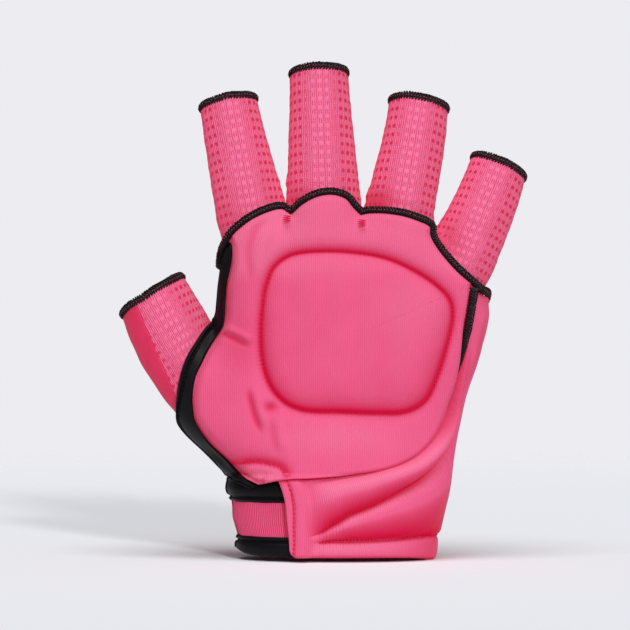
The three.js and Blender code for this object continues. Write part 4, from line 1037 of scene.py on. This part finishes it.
# Pitches of what is gathered or ribbed: the puckers along the seams, the tab's ribs and the elastic's.
PITCH = dict(pad_pucker=1.25, tuck_pucker=1.15, strap_pucker=1.3, side_pucker=1.9, tab_rib=1.05,
             elastic_rib=0.86)
# How far the back's left edge lies under the binding.
TUCKED = 1.4
# The back off the hand: the groove round the pad, then how high, over what width and how fast the pad and the
# field rise from it.
QUILT = dict(groove=2.3, pad=(3.4, 3.2, 1.15), field=(2.5, 2.9, 1.25), crown=1.1, crown_width=30)
# Each crease: its line, its furrow's width and depth, its lip's height, and the length that its ends fade in.
CREASES = [
    ([(-48.5, 87.0), (-41.5, 85.2), (-36.8, 83.0), (-32.0, 80.6)], 1.2, 1.2, 1.1, 5),
    ([(-33.9, 66.5), (-32.8, 60.8), (-30.9, 54.0), (-28.2, 47.5)], 1.2, 1.6, 0.8, 6),
    ([(-24.8, 55.0), (-24.2, 47.0), (-22.6, 39.5)], 1.4, 0.7, 0.7, 5),
    ([(-25.0, 130.5), (-30.5, 125.5), (-33.4, 117.0), (-32.0, 103.0)], 2.0, 0.6, 0.6, 8),
]
DENT = dict(place=(-25.4, 58.4), size=(2.6, 1.9), depth=1.4)
# Painted shade in the valley beside the binding, and painted highlights below the pad and at its upper right.
SHADED_CORNER = dict(place=(-37.5, 82.0), size=(6.5, 10.0))
HIGHLIGHT_BELOW_PAD = dict(place=(-2, 47), size=(24, 6))
HIGHLIGHT_CORNER = dict(place=(30, 98), size=(15, 15))

hand_front = Wall(form, lambda x, z: hand_rays(x, z, -90), (-66, 62, 86), (22, 146, 84), (0.3, 2.6, 5.2, 8.6))
PAD_EDGE = smooth_run(PAD, 420, closed=True)
TUCK = smooth_run(TUCK_LINE, 40)


def back_lift(x, z):
    """How far the back is lifted over the elastic at its foot."""
    down = 1 - ease(BACK_LIFT["low"], BACK_LIFT["high"], z)
    return BACK_LIFT["lift"] * down * ease(BACK_LIFT["outer"], BACK_LIFT["inner"], x)


def aside(run, width):
    """A run of points moved to its right."""
    p = np.array(run, float)
    way = np.concatenate([p[1:2] - p[:1], p[2:] - p[:-2], p[-1:] - p[-2:-1]])
    return p + width * np.stack([way[:, 1], -way[:, 0]], -1) / np.linalg.norm(way, axis=1, keepdims=True)


def crease(x, z, line, width, depth, lip, fade):
    """A fold along a line: a furrow with a swelling on its left, which dies away at the ends."""
    near, side, along = from_line(x, z, smooth_run(line, 24))
    d = near * side
    ends = ease(0, fade, along) * ease(0, fade, along.max() - along)
    ends = ends * np.exp(-np.maximum(near - 3 * width, 0))
    return ends * (lip * fading(d - 1.9 * width, 1.5 * width) - depth * fading(d, width))


def quilt_rise(gap, height, width, power):
    return height * (1 - fading(np.maximum(gap, 0), width, power))


def back_relief(x, z):
    """How far the padded back stands off the hand, and where shade is painted on it."""
    near_pad, side, along = from_line(x, z, PAD_EDGE, closed=True)
    d = -near_pad * side if np.sign(side[0, 0]) > 0 else near_pad * side
    inside = d < 0
    middle = np.clip(-d / QUILT["crown_width"], 0, 1)
    pad = QUILT["groove"] + quilt_rise(-d, *QUILT["pad"]) + QUILT["crown"] * middle * (2 - middle)
    level = np.where(inside, pad, QUILT["groove"] + quilt_rise(d, *QUILT["field"]))
    pucker = beat(along, PITCH["pad_pucker"], 1.3 * np.sin(along / 2.7))
    level = level + 0.15 * pucker * fading(near_pad, 1.8, 1) * (1 - fading(near_pad, 0.3, 1))
    pitch = STITCH["back"][0]
    holes = np.abs((along / pitch) % 1 - 0.5) * pitch
    level = level - 0.45 * fading(near_pad, 0.55) * fading(holes, 0.45)
    level = level - 0.5 * fading(near_pad, 0.5)
    # Painted shade along the pad's groove, wider on its upper side, over the pad near its edge, more so low
    # down, and in the valley beside the binding.
    low = 1 - ease(60, 112, z)
    cx, cz = PANEL_CENTRE
    above = np.where(inside, -1, 1) * (z - cz) / np.maximum(np.hypot(x - cx, z - cz), 1)
    shade = 1.3 + np.where(above > 0, 0.7, 0.6) * above
    painted_shade = 0.95 * fading(near_pad, shade, 1.5) + (0.14 + 0.26 * low) * fading(near_pad, 7, 1.4) * inside
    painted_shade = painted_shade + 0.26 * spot(x, z, **SHADED_CORNER)

    near, side, along = from_line(x, z, TUCK)
    d = near * side
    fade = ease(0, 2, along) * ease(0, 2.5, along.max() - along)
    above = fading(np.maximum(d, 0), 1.8, 1.3)
    below = fading(np.maximum(-d, 0), 0.6, 1.5)
    mound = 0.8 * fading(d + 2.4, 1.8) * fade
    teeth = 0.5 + 0.5 * beat(along, PITCH["tuck_pucker"])
    level = level - 2.0 * above * below * fade + mound + 0.3 * teeth * fading(near, 1.6, 1) * fade
    # Painted shade along the tuck, on its upper side, and between the tab's ribs.
    painted_shade = np.maximum(painted_shade, above * np.where(d > 0, 1, below) * fade * (1 - 0.25 * teeth * (d < 0.8)))
    tab = ease(0.6, 1.6, -d) * (1 - ease(4, 7, -d)) * fade
    rib = beat(x, PITCH["tab_rib"])
    level = level + 0.14 * tab * rib
    painted_shade = np.maximum(painted_shade, tab * (0.1 - 0.1 * rib))

    folds = sum(crease(x, z, *one) for one in CREASES)
    dent = -DENT["depth"] * spot(x, z, DENT["place"], DENT["size"])
    level = level + folds + dent
    level = level + swell("back", x, z) * (1 - fading(near_pad, 3, 1))
    # Painted shade in the creases and the dent.
    painted_shade = np.maximum(painted_shade, np.clip(-(folds + dent) * 0.5, 0, 0.8))
    return level, np.clip(painted_shade, 0, 1)


def back_painted_highlight(x, z):
    """Where a lighter highlight is painted on the padded back: its knuckles, tab and upper corner, and below
    the pad.
    """
    near, side, along = from_line(x, z, TUCK)
    ends = ease(0, 2, along) * ease(0, 2.5, along.max() - along)
    tab = ease(0.8, 2.4, -near * side) * (1 - ease(5, 8, near)) * ends
    knuckles = ease(104, 112, z) * (1 - 0.4 * ease(-20, 0, x))
    below_pad = 0.55 * spot(x, z, **HIGHLIGHT_BELOW_PAD)
    corner = 0.5 * spot(x, z, **HIGHLIGHT_CORNER)
    return np.maximum.reduce([tab, 0.7 * knuckles, below_pad, corner])


def back_panel():
    top = aside(KNUCKLE_SEAM, 1.1)[3:-1]
    left = np.array(PANEL_LEFT)
    under = 0.8 + (TUCKED - 0.8) * ease(42, 54, left[:, 1:])
    tucked = left + (aside(PANEL_LEFT, -1) - left) * under
    outline = [*top, *PANEL_RIGHT, *tucked]
    corners = [k - 3 for k in KNUCKLE_CORNERS] + [len(top), len(top) + len(PANEL_RIGHT), len(outline) - 1]
    rim = cornered_run(outline, corners, 0.48, closed=True)
    bound = 1 - ease(0, 3, from_line(rim[:, 0], rim[:, 1], tucked)[0])[:, None]
    seamed = 1 - ease(0, 4, from_line(rim[:, 0], rim[:, 1], top)[0])[:, None]
    cx, cz = PANEL_CENTRE
    angle = np.arctan2(rim[:, 1] - cz, rim[:, 0] - cx)
    radius = np.hypot(rim[:, 1] - cz, rim[:, 0] - cx)
    pad_angle = np.arctan2(PAD_EDGE[:, 1] - cz, PAD_EDGE[:, 0] - cx)
    order = pad_angle.argsort()
    groove = np.interp(angle, pad_angle[order], np.hypot(*(PAD_EDGE - (cx, cz)).T)[order], period=2 * math.pi)
    # Rings of points from the centre: wide apart on the pad, close at the groove and again at the rim.
    inner_band, outer_band, rim_band = 8, 4, 2.4
    rings = [(groove - inner_band) * share for share in np.linspace(0, 1, 10)[:-1]]
    rings += [groove + step for step in np.linspace(-inner_band, outer_band, 34)[:-1]]
    rings += [mixed(groove + outer_band, radius - rim_band, share) for share in np.linspace(0, 1, 30)[:-1]]
    rings += [radius - rim_band * (1 - share) ** 1.5 for share in np.linspace(0, 1, 9)]
    r = np.stack(rings, 1)
    x = cx + r * np.cos(angle)[:, None]
    z = cz + r * np.sin(angle)[:, None]
    gap = from_line(x, z, rim, closed=True)[0]
    gap[:, -1] = 0
    level, painted_shade = back_relief(x, z)
    # Painted highlight, kept off the painted shade.
    crown = back_painted_highlight(x, z) * (1 - painted_shade)
    edge = np.maximum(3.0 - 1.9 * bound - 1.4 * seamed, 0.9)
    level = level - (1 - rounded(gap - TUCKED * bound, 1.5 + 1.3 * bound + 1.0 * seamed)) * (level - edge)
    base = LAY_GAP + back_lift(x, z)
    outer = hand_front(x, z, base + level)
    pick = some(r.shape[1], 12)
    raised = 1.7 * (1 - ease(1, 6, gap)) * (1 - np.clip(bound + seamed, 0, 1))
    inner = hand_front(x[:, pick], z[:, pick], (base + raised)[:, pick])
    uv = np.stack([x, z], -1)
    marks = {"painted_shade": painted_shade, "crown": crown}
    return weld_centre(shell("padded_back", outer, inner, FOAM, True, np.concatenate([uv, uv[:1]]), marks))


back = keep(back_panel(), "back_panel")


def on_back(line, lift=0.0):
    """A line on the padded back, with the way it faces."""
    x, z = line[:, 0][None], line[:, 1][None]
    level, _ = back_relief(x, z)
    base = LAY_GAP + back_lift(x, z) + level + lift
    points = hand_front(x, z, base)[0]
    ahead = hand_front(x + 0.4, z, base)[0] - hand_front(x - 0.4, z, base)[0]
    above = hand_front(x, z + 0.4, base)[0] - hand_front(x, z - 0.4, base)[0]
    return points, unit(np.cross(ahead, above))


# The tuck is sewn where it shows, clear of the binding and of the cuff.
SEWN_ON_BACK = (np.concatenate([PAD_EDGE, PAD_EDGE[:1]]), TUCK[(TUCK[:, 0] > -37.6) & (TUCK[:, 1] > 33.4)])
rows = [stitch_row(*on_back(line), *STITCH["back"]) for line in SEWN_ON_BACK]
keep(threads("back_stitches", rows, PINK_THREAD))


# The palm.

hand_palm = Wall(form, lambda x, z: hand_rays(x, z, 90), (-66, 58, 63), (26, 136, 56), (0.5, 2.0, 4.0))


def palm_panel():
    rim = cornered_run(PALM_OUTLINE, PALM_CORNERS, 1.2, closed=True)
    centre = np.array(PALM_CENTRE)
    share = 1 - (1 - np.linspace(0, 1, 46)) ** 1.25
    place = centre + (rim - centre)[:, None] * share[None, :, None]
    x, z = place[..., 0], place[..., 1]
    gap = from_line(x, z, rim, closed=True)[0]
    outer = hand_palm(x, z, LAY_GAP + 1.1 + 1.3 * rounded(gap, 1.4) + swell("palm", x, z))
    pick = some(46, 8)
    inner = hand_palm(x[:, pick], z[:, pick], LAY_GAP + 0.5)
    uv = np.stack([x, z], -1)
    return weld_centre(shell("palm_skin", outer, inner, SUEDE, True, np.concatenate([uv, uv[:1]])))


keep(palm_panel(), "palm_panel")


# The binding beside the thumb.

LAST_RUNG = BINDING["row"][-1]
# The binding off the hand: its foot, its roll, the lip beyond its sewn line, and the furrow of that line.
ROLL = dict(foot=0.3, height=1.75, radius=1.1, lip=0.55, lip_at=0.9, furrow=0.6, furrow_at=2.05)


def binding_rays(rung, c):
    row = read_all(BINDING, "xi zi xo zo turn", "row", rung)
    turn = np.clip(row["turn"], 0, FULL_TURN)
    x = row["xi"] + (row["xo"] - row["xi"]) * c * (1 - turn / FULL_TURN)
    z = row["zi"] + (row["zo"] - row["zi"]) * c
    return hand_rays(x, z, -90 - turn * c)


binding_wall = Wall(root_form, binding_rays, (0, LAST_RUNG, 73), (0, 1, 13), (0.3, 2.2, 4.2, 6.4))


def thumb_binding():
    rung = np.linspace(0, LAST_RUNG, 300)[:, None]
    c = np.linspace(0, 1, 34)[None]
    base = LAY_GAP + 0.25
    flat = binding_wall(rung, c, base + 1.5)
    girth = run_length(flat, 1)
    from_outer = girth[:, -1:] - girth
    roll = ROLL["foot"] + ROLL["height"] * rounded(np.minimum(girth, from_outer), ROLL["radius"])
    roll = roll + ROLL["lip"] * fading(from_outer - ROLL["lip_at"], 0.75)
    roll = roll - ROLL["furrow"] * fading(from_outer - ROLL["furrow_at"], 0.4)
    ends = ease(-0.01, 0.5, rung) * ease(-0.01, 0.6, LAST_RUNG - rung)
    lift = back_lift(flat[..., 0], flat[..., 2])
    bridge = 1.8 * fading(rung - 15.1, 0.9) * ease(0.05, 0.5, c)
    level = base + lift + roll * (0.35 + 0.65 * ends) + bridge
    outer = binding_wall(rung, c, level)
    pick = some(34, 8)
    inner = binding_wall(rung, c[:, pick], (base + lift)[:, pick])
    # The rungs crowd in the crotch of the thumb, so the sheet is smoothed there.
    crotch = (ease(3.2, 4.2, rung) * (1 - ease(5.6, 6.8, rung)))[..., None]
    for _ in range(40):
        outer, inner = ((1 - crotch) * sheet + crotch * softened(sheet) for sheet in (outer, inner))
    keep(shell("thumb_leather_binding", outer, inner, LEATHER, False), "thumb_binding")
    line_c = np.array([np.interp(row[-1] - ROLL["furrow_at"], row, c[0]) for row in girth])
    foot, above = (binding_wall(rung[:, 0], line_c, base + height) for height in (1.65, 2.65))
    inside = slice(70, 285)
    row = stitch_row(foot[inside], unit(above - foot)[inside], *STITCH["binding"])
    keep(threads("binding_stitches", [row], BLACK_THREAD))


thumb_binding()


# The wrist.

wrist = Wall(form, section_rays, (-180, 180, 289), (-1, 100, 46), (0.3, 2.4, 4.8, 8.0), wrap=True)


def angle_at(x, z, sign, level=LAY_GAP):
    """The section angle whose point lies at x, on the back of the hand (-1) or the palm side (1)."""
    low, high = np.zeros(len(x)), np.full(len(x), 180.0)
    for _ in range(22):
        half = (low + high) / 2
        right = wrist(sign * half, z, level)[:, 0] > x
        low, high = np.where(right, half, low), np.where(right, high, half)
    return sign * (low + high) / 2


STRAP["angle"] = STRAP["across"].copy()
across, top = (STRAP[key][:STRAP_ON_FRONT] for key in ("across", "top"))
STRAP["angle"][:STRAP_ON_FRONT] = angle_at(across, top, -1, LAY_GAP + 3.0)
# Where a padded channel is fullest, as a share of its height, and how high one has to be to fill out.
PEAK, FULL_CHANNEL = 0.62, 9
# The strap off the wrist: its full height, its grooves' depth, how far its two channels stand proud, its hem.
STRAP_LEVEL = dict(full=4.2, groove=3.4, lower=1.7, upper=2.9, hem=3.3)
# How far both ends are lifted over the elastic, and the end seam's distance from the end beside the thumb.
STRAP_LIFT, END_SEAM = 2.3, 3.6
# The round of the strap's lower corner there: its height, and its width in columns.
CORNER_HEIGHT, CORNER_COLUMNS = 3.4, 0.42


def strap_pillow(t, size, kept):
    """One padded channel from its foot up: a long rise, full near the top, then a quick turn in."""
    up = 1 - np.abs(1 - np.clip(t / PEAK, 0, 1)) ** 2.1
    down = 1 - (1 - kept) * np.clip((t - PEAK) / (1 - PEAK), 0, 1) ** 3.2
    return np.where(t < PEAK, up, down) * np.clip(size / FULL_CHANNEL, 0, 1)


def strap_relief(u, z, c, arc):
    """How far the strap stands off the wrist, where shade is painted on it, and where a lighter highlight is
    painted.
    """
    full, hem, top, low = STRAP_LEVEL["full"], c["hem"], c["top"], c["low"]
    fold = np.maximum(c["fold"], hem + 2.0)
    deep = np.clip(c["deep"], 0, 1)
    lower = z < fold
    size = np.where(lower, fold - hem, top - fold)
    t = np.where(lower, (z - hem) / (fold - hem), (z - fold) / np.maximum(top - fold, 1))
    groove = full - STRAP_LEVEL["groove"] * deep * (1 - 0.5 * ease(8.5, 10.5, u))
    body = strap_pillow(t, size, np.where(lower, 0, 0.2 + 0.42 * ease(4, 8, u)))
    crown = np.where(lower, STRAP_LEVEL["lower"], STRAP_LEVEL["upper"]) * deep
    level = mixed(full, np.where(deep > 0.02, groove + (full - groove + crown) * body, full), deep)
    hem_band = STRAP_LEVEL["hem"] + 0.5 * np.sin(np.pi * np.clip((z - low) / np.maximum(hem - low, 1), 0, 1))
    level = mixed(level, hem_band, (1 - ease(hem - 0.9, hem + 0.4, z)) * ease(1.5, 2.6, u))
    near_hem = np.abs(z - hem)
    slope = np.gradient(fold, axis=0) / np.maximum(np.gradient(arc, axis=0), 0.02)
    near_fold = np.abs(z - fold) / np.sqrt(1 + np.clip(slope, -3, 3) ** 2)
    sewn = ease(1.8, 2.6, u) * ease(0, 1.5, 14.5 - u)
    rolled = ease(9, 11, u)
    level = level - 1.5 * fading(near_hem, 0.65) * ease(1.9, 2.6, u)
    level = level - (0.8 * deep + 0.3 * rolled) * fading(near_fold, 0.6) * sewn
    teeth = beat(arc, PITCH["strap_pucker"], 0.8 * np.sin(arc / 3))
    side_teeth = beat(z + 1.2 * near_fold, PITCH["side_pucker"])
    level = level + 0.5 * teeth * fading(near_hem, 1.3, 1) * sewn * (1 - 0.7 * ease(10, 12, u))
    level = level + 0.5 * teeth * fading(near_fold, 1.8, 1) * sewn * (1 - rolled)
    level = level + 0.3 * side_teeth * fading(near_fold, 1.6, 1) * sewn * rolled
    level = level - 0.8 * fading(arc - END_SEAM, 0.5) - 0.8 * (1 - ease(2.8, 5.5, arc))
    level = level + swell("strap", arc, z)
    level = level - 0.5 * ease(10.5, 12.5, u) * (1 - ease(17, 20, u)) * fading(z - 65, 9)

    # Painted shade: under each channel's fullest part, along the grooves and the hem, low on the band and at
    # the end seam's holes.
    under = np.clip(1 - t / PEAK, 0, 1) * deep * (z > hem)
    front = 1 - ease(10, 13, u)
    holes = 0.5 + 0.5 * np.cos((z - low) * 2 * np.pi / STITCH["strap_end"][0])
    painted_shade = np.clip(np.maximum.reduce([
        fading(near_fold, np.where(z > fold, 1.5, 0.6), 1.3) * deep * sewn,
        (0.4 - 0.3 * side_teeth) * fading(near_fold, 1.2, 1.5) * sewn * rolled,
        1.1 * under ** np.where(lower, 0.6, 0.9) * np.clip(size / FULL_CHANNEL, 0, 1),
        0.4 * ease(5, 9, u) * (1 - ease(hem - 1, hem, z)) * front,
        0.3 * fading(top - z, 5) * ease(7.5, 9, u) * (1 - ease(11.5, 12.5, u)),
        (0.75 - 0.25 * teeth) * fading(near_hem, np.where(z > hem, 1.2, 0.6)) * sewn,
        0.5 * fading(z - low, 0.8) * ease(1, 2.5, u) * front,
        (0.15 + 0.75 * holes ** 2) * fading(arc - END_SEAM, 0.6),
    ]), 0, 1)

    under_back = 1 - ease(10.8, 12.4, u)
    edge_gap = np.minimum(np.minimum(z - low, top - z + 9 * under_back), arc * 1.2)
    level = level * (0.25 + 0.75 * rounded(edge_gap, 1.5))
    level = level * (1 - 0.4 * (1 - ease(0, 9, top - z)) * ease(10.8, 13.5, u))
    level = mixed(level, 1.5, ease(-0.4, 1.0, z - top) * under_back)
    # Painted highlight: a lighter pink on the upper channel's roll, on the band below the hem line and just
    # below the fold.
    roll = 0.85 * fading(t - 0.78, 0.19) * ease(1.5, 3, u) * (1 - ease(8.5, 10.5, u)) * (z > fold)
    low_band = 0.9 * fading(hem - 2.4 - z, 1.9) * ease(1, 2.5, u) * (1 - ease(3.5, 8, u))
    below_fold = 0.8 * fading(fold - 1.4 - z, 1.9) * ease(2.2, 4, u) * (1 - ease(7, 10, u)) * lower
    crown = np.maximum.reduce([roll, low_band, below_fold * (0.85 + 0.15 * teeth)])
    return level, painted_shade, (0.12 + crown) * (1 - painted_shade)


def wrist_strap():
    u = np.concatenate([np.linspace(0, 15, 330), np.linspace(15, STRAP["row"][-1], 90)[1:]])[:, None]
    c = read_all(STRAP, "foot angle top hem fold deep low", "row", u)
    c["low"] = c["low"] + CORNER_HEIGHT * (1 - rounded(u, CORNER_COLUMNS))
    tuck = 3.2 * (1 - ease(10.8, 12.4, u)) * np.linspace(0, 1, 9)[None, 1:]
    rising = c["low"] + (c["top"] - c["low"]) * np.linspace(0, 1, 140)[None]
    z = np.concatenate([rising, c["top"] + tuck + 0.01], axis=1)
    angle = c["foot"] + (c["angle"] - c["foot"]) * np.clip(z / c["top"], 0, 1) ** STRAP_FAN
    arc = run_length(wrist(angle, z, LAY_GAP + 3.5))
    level, painted_shade, crown = strap_relief(u, z, c, arc)
    lift = STRAP_LIFT * (1 - ease(6.5, 11, arc)) + STRAP_LIFT * (1 - ease(5, 10, arc[-1:] - arc))
    base = LAY_GAP + lift
    outer = wrist(angle, z, base + level)
    # Rays turn fast round the hand's side, so the sheet is smoothed there.
    turning = fading(angle, 9)[..., None]
    for _ in range(60):
        outer = (1 - turning) * outer + turning * softened(outer)
    pick = some(z.shape[1], 20)
    inner = wrist(angle[:, pick], z[:, pick], base[:, pick])
    uv, marks = np.stack([arc, z], -1), {"painted_shade": painted_shade, "crown": crown}
    piece = keep(shell("padded_strap", outer, inner, FOAM, False, uv, marks), "wrist_strap")
    out = unit(wrist(angle, z, base + 6) - wrist(angle, z, base + 2))

    def sewn_line(height, first, last, stitch):
        use = np.flatnonzero((u[:, 0] >= first) & (u[:, 0] <= last))
        k = np.abs(z - height).argmin(1)[use]
        return stitch_row(outer[use, k], out[use, k], *stitch)

    rows = [sewn_line(c["hem"], 2.0, 13, STITCH["strap_hem"]),
            sewn_line(c["fold"], 2.2, 13.2, STITCH["strap_fold"])]
    use = np.arange(4, z.shape[1] - 3)
    end = np.abs(arc - END_SEAM).argmin(0)[use]
    rows.append(stitch_row(outer[end, use], out[end, use], *STITCH["strap_end"]))
    keep(threads("strap_stitches", rows, PINK_THREAD))


wrist_strap()


def wrist_band(name, node, cloth, columns, z, relief):
    """A band round the thumb's side of the wrist, from the strap on the back to the strap on the palm."""
    middle = np.array([(ELASTIC["low"] + ELASTIC["top"]) / 2])
    start = angle_at(np.array([ELASTIC["front"]]), middle, -1)[0]
    stop = angle_at(np.array([ELASTIC["back"]]), middle, 1)[0] - 360
    angle = np.linspace(start, stop, columns)[:, None]
    z = z[None] + ELASTIC["rise"] * fading(angle + 180, 25) * (1 - ease(2, 12, z[None]))
    arc = run_length(wrist(angle, z, LAY_GAP + 1.5))
    level, marks = relief(arc, z)
    outer = wrist(angle, z, LAY_GAP + level)
    pick = some(z.shape[1], 6)
    inner = wrist(angle, z[:, pick], LAY_GAP)
    keep(shell(name, outer, inner, cloth, False, np.stack([arc, z], -1), marks), node)


def elastic_relief(arc, z):
    rib = 0.5 + 0.5 * np.cos(arc * 2 * np.pi / PITCH["elastic_rib"])
    return 0.95 + 0.28 * rib + swell("elastic", arc, z), {"rib": rib}


# A leather edge off the wrist: its foot, the height and radius of its sides, its roll and its sewn furrow.
LEATHER_EDGE = dict(foot=0.35, height=1.75, radius=1.5, roll=0.9, furrow=0.75, furrow_width=0.45)


def bound_edge(low, high, split, upward):
    """A folded leather binding: a full roll and a narrow lip with a sewn line between them."""
    def relief(arc, z):
        d = z - split
        main = np.clip(d if upward else -d, 0, 6) / 6
        roll = LEATHER_EDGE["roll"] * np.sin(np.pi * np.clip(main, 0, 1) ** 0.8)
        edge = LEATHER_EDGE["height"] * rounded(np.minimum(z - low, high - z), LEATHER_EDGE["radius"])
        furrow = LEATHER_EDGE["furrow"] * fading(d, LEATHER_EDGE["furrow_width"])
        return LEATHER_EDGE["foot"] + edge + roll - furrow + swell("leather", arc, z), None
    return relief


wrist_band("ribbed_wrist_elastic", "elastic_band", WEBBING, 560,
           np.linspace(ELASTIC["middle"] - 0.6, ELASTIC["high"] + 0.6, 24), elastic_relief)
for label, side, low, high, upward in (
    ("elastic_top_leather", "upper", ELASTIC["high"] - 0.1, ELASTIC["top"], True),
    ("elastic_hem_leather", "lower", ELASTIC["low"], ELASTIC["middle"] + 0.1, False),
):
    split = ELASTIC["high"] + 2.0 if upward else ELASTIC["middle"] - 2.0
    wrist_band(label, f"elastic_{side}_binding", LEATHER, 160, np.linspace(low, high, 30),
               bound_edge(low, high, split, upward))


# The seams of the body.

def form_normal(p):
    gap = 0.3 * np.eye(3)
    return unit(np.stack([form(p + gap[k]) - form(p - gap[k]) for k in range(3)], -1))


def base_seam():
    front = cornered_run([(x, z, -90) for x, z in KNUCKLE_SEAM], KNUCKLE_CORNERS, 1.0)
    back_round = smooth_run([front[-1], *SEAM_ROUND, (*KNUCKLE_SEAM[0], 270)], step=1.0)[1:-1]
    x, z, turn = np.concatenate([front, back_round]).T
    away = np.abs((turn + 270) % 360 - 180)
    points = met(form, hand_rays(x, z, turn), LAY_GAP + 2.4 - 0.8 * ease(0, 50, away))
    path = softened(softened(smooth_run(points, closed=True, step=0.6)))
    return path, form_normal(path)


sewn_edge("finger_seam", "finger_base_seam", *base_seam(), (1.15, 1.0), (1.25, 1.15), pitch=1.15)

slit = smooth_run(SLIT_SEAM, step=0.6)
along = np.linspace(0, 1, len(slit))
path = met(form, hand_rays(slit[:, 0], slit[:, 1], -90), np.interp(along, (0, 0.45, 1), SLIT_LEVEL))
taper = np.interp(along, (0, 0.5, 1), SLIT_RADIUS)
sewn_edge("slit_seam", "slit_seam", path, form_normal(path), (taper, taper), (taper, taper), closed=False)
keep(threads("cloth_specks", SPECKS, RED_THREAD, 4))


# The linings' two faces, off the form.
LINING_LEVELS = (0.45, -0.2)


def lining(name, side, inset, turn, low, high):
    """Thin black knit behind a joint, laid on the side of the hand. high is its upper edge at each turn."""
    turn = np.linspace(*turn, 48)[None]
    z = low + (high(turn) - low) * np.linspace(0, 1, 80)[:, None]
    rays = hand_rays((read(PALM, side, "z", z) + inset).ravel(), z.ravel(), (turn + 0 * z).ravel())
    sheets = [met(root_form, rays, level).reshape(*z.shape, 3) for level in LINING_LEVELS]
    keep(shell(name, *sheets, BLACK_KNIT, False))


lining("slit_lining", "right", -10.0, (-100, 95), 32.0, lambda turn: 98.0 + 5.4 * (1 - ease(-88, -62, turn)))
lining("thumb_gusset", "left", 9.0, (96, 214), 95.5, lambda turn: 113.0 + 0 * turn)
lining("heel_gusset", "left", 12.0, (-172, -86), 30.0, lambda turn: 51.0 + 0 * turn)


BARTACK = dict(width=2.6, height=2.4, turns=3, radius=0.2)
BARTACKS = [(-19.2, 129.4), (9.0, 127.8)]


def bartack(x, z):
    """A short dense zigzag that holds the seam at the foot of two fingers."""
    k = np.arange(BARTACK["turns"] * 2 + 1)
    px = x + np.where(k % 2, BARTACK["width"] / 2, -BARTACK["width"] / 2)
    pz = z + BARTACK["height"] * (k / k[-1] - 0.5)
    points, _ = on_back(smooth_run(np.stack([px, pz], -1), 90), 0.15)
    return points[None], BARTACK["radius"], False


keep(threads("web_bartacks", [bartack(*place) for place in BARTACKS], PINK_THREAD))


# Studio.

CAMERA = dict(lens=210.5, sensor_width=36)
CAMERA_PLACE = (-8.74 * MM, -1.406, 93.1 * MM)

scene = bpy.context.scene
camera = bpy.data.cameras.new("camera")
for key, value in CAMERA.items():
    setattr(camera, key, value)
camera_object = bpy.data.objects.new("camera", camera)
camera_object.location = CAMERA_PLACE
camera_object.rotation_euler = (math.radians(90), 0, 0)
scene.collection.objects.link(camera_object)
scene.camera = camera_object
scene.view_settings.view_transform = "Standard"


def softbox(name, right, up, spread, strength):
    """A far soft light, placed by its angles to the right of the camera and above the floor."""
    light = bpy.data.lights.new(name, "SUN")
    light.energy, light.angle = strength, math.radians(spread)
    obj = bpy.data.objects.new(name, light)
    obj.rotation_euler = (math.radians(90 - up), 0, math.radians(right))
    scene.collection.objects.link(obj)


softbox("top_softbox", -4, 68, 44, 2.25)
softbox("front_softbox", 15, 19, 7, 1.85)

world = bpy.data.worlds.new("studio")
world.use_nodes = True
background = world.node_tree.nodes["Background"]
background.inputs["Color"].default_value = colour("#f2f3f7")
background.inputs["Strength"].default_value = 0.17
scene.world = world


def backdrop(radius=8000):
    """The even pale wall of the studio all round, which is seen but sends no light to the glove."""
    material, tree = finish("painted_studio_wall")
    wall = add(tree, "Emission", Color=colour("#edecf1"), Strength=1)
    add(tree, "OutputMaterial", Surface=wall)
    up = np.radians(np.linspace(-89, 89, 24))[None]
    around = np.radians(np.linspace(0, 360, 49))[:-1, None]
    ball = np.stack([np.cos(up) * np.cos(around), np.cos(up) * np.sin(around), np.sin(up) + 0 * around], -1)
    dome = lay("studio_wall", ball * radius, material, (True, False))
    for way in ("diffuse", "glossy", "transmission", "volume_scatter", "shadow"):
        setattr(dome, "visible_" + way, False)


backdrop()


def paper_floor(half=2000, height=0.2):
    """Matt white paper, seamless: it fades out into the studio's light away from the glove."""
    material, tree = finish("seamless_paper")
    place = add(tree, "TexCoord").outputs["Object"]
    far = add(tree, "VectorMath", operation="LENGTH", i0=place)
    fade = add(tree, "MapRange", interpolation_type="SMOOTHSTEP", Value=far, From_Min=0.4, From_Max=1.2)
    paper = add(tree, "BsdfDiffuse", Color=colour("#e6e8ec"), Roughness=0)
    clear = add(tree, "BsdfTransparent")
    both = add(tree, "MixShader", i0=fade, i1=paper, i2=clear)
    add(tree, "OutputMaterial", Surface=both)
    x, y = np.meshgrid(*[np.linspace(-half, half, 9)] * 2, indexing="ij")
    lay("paper_floor", np.stack([x, y, 0 * x + height], -1), material)


paper_floor()
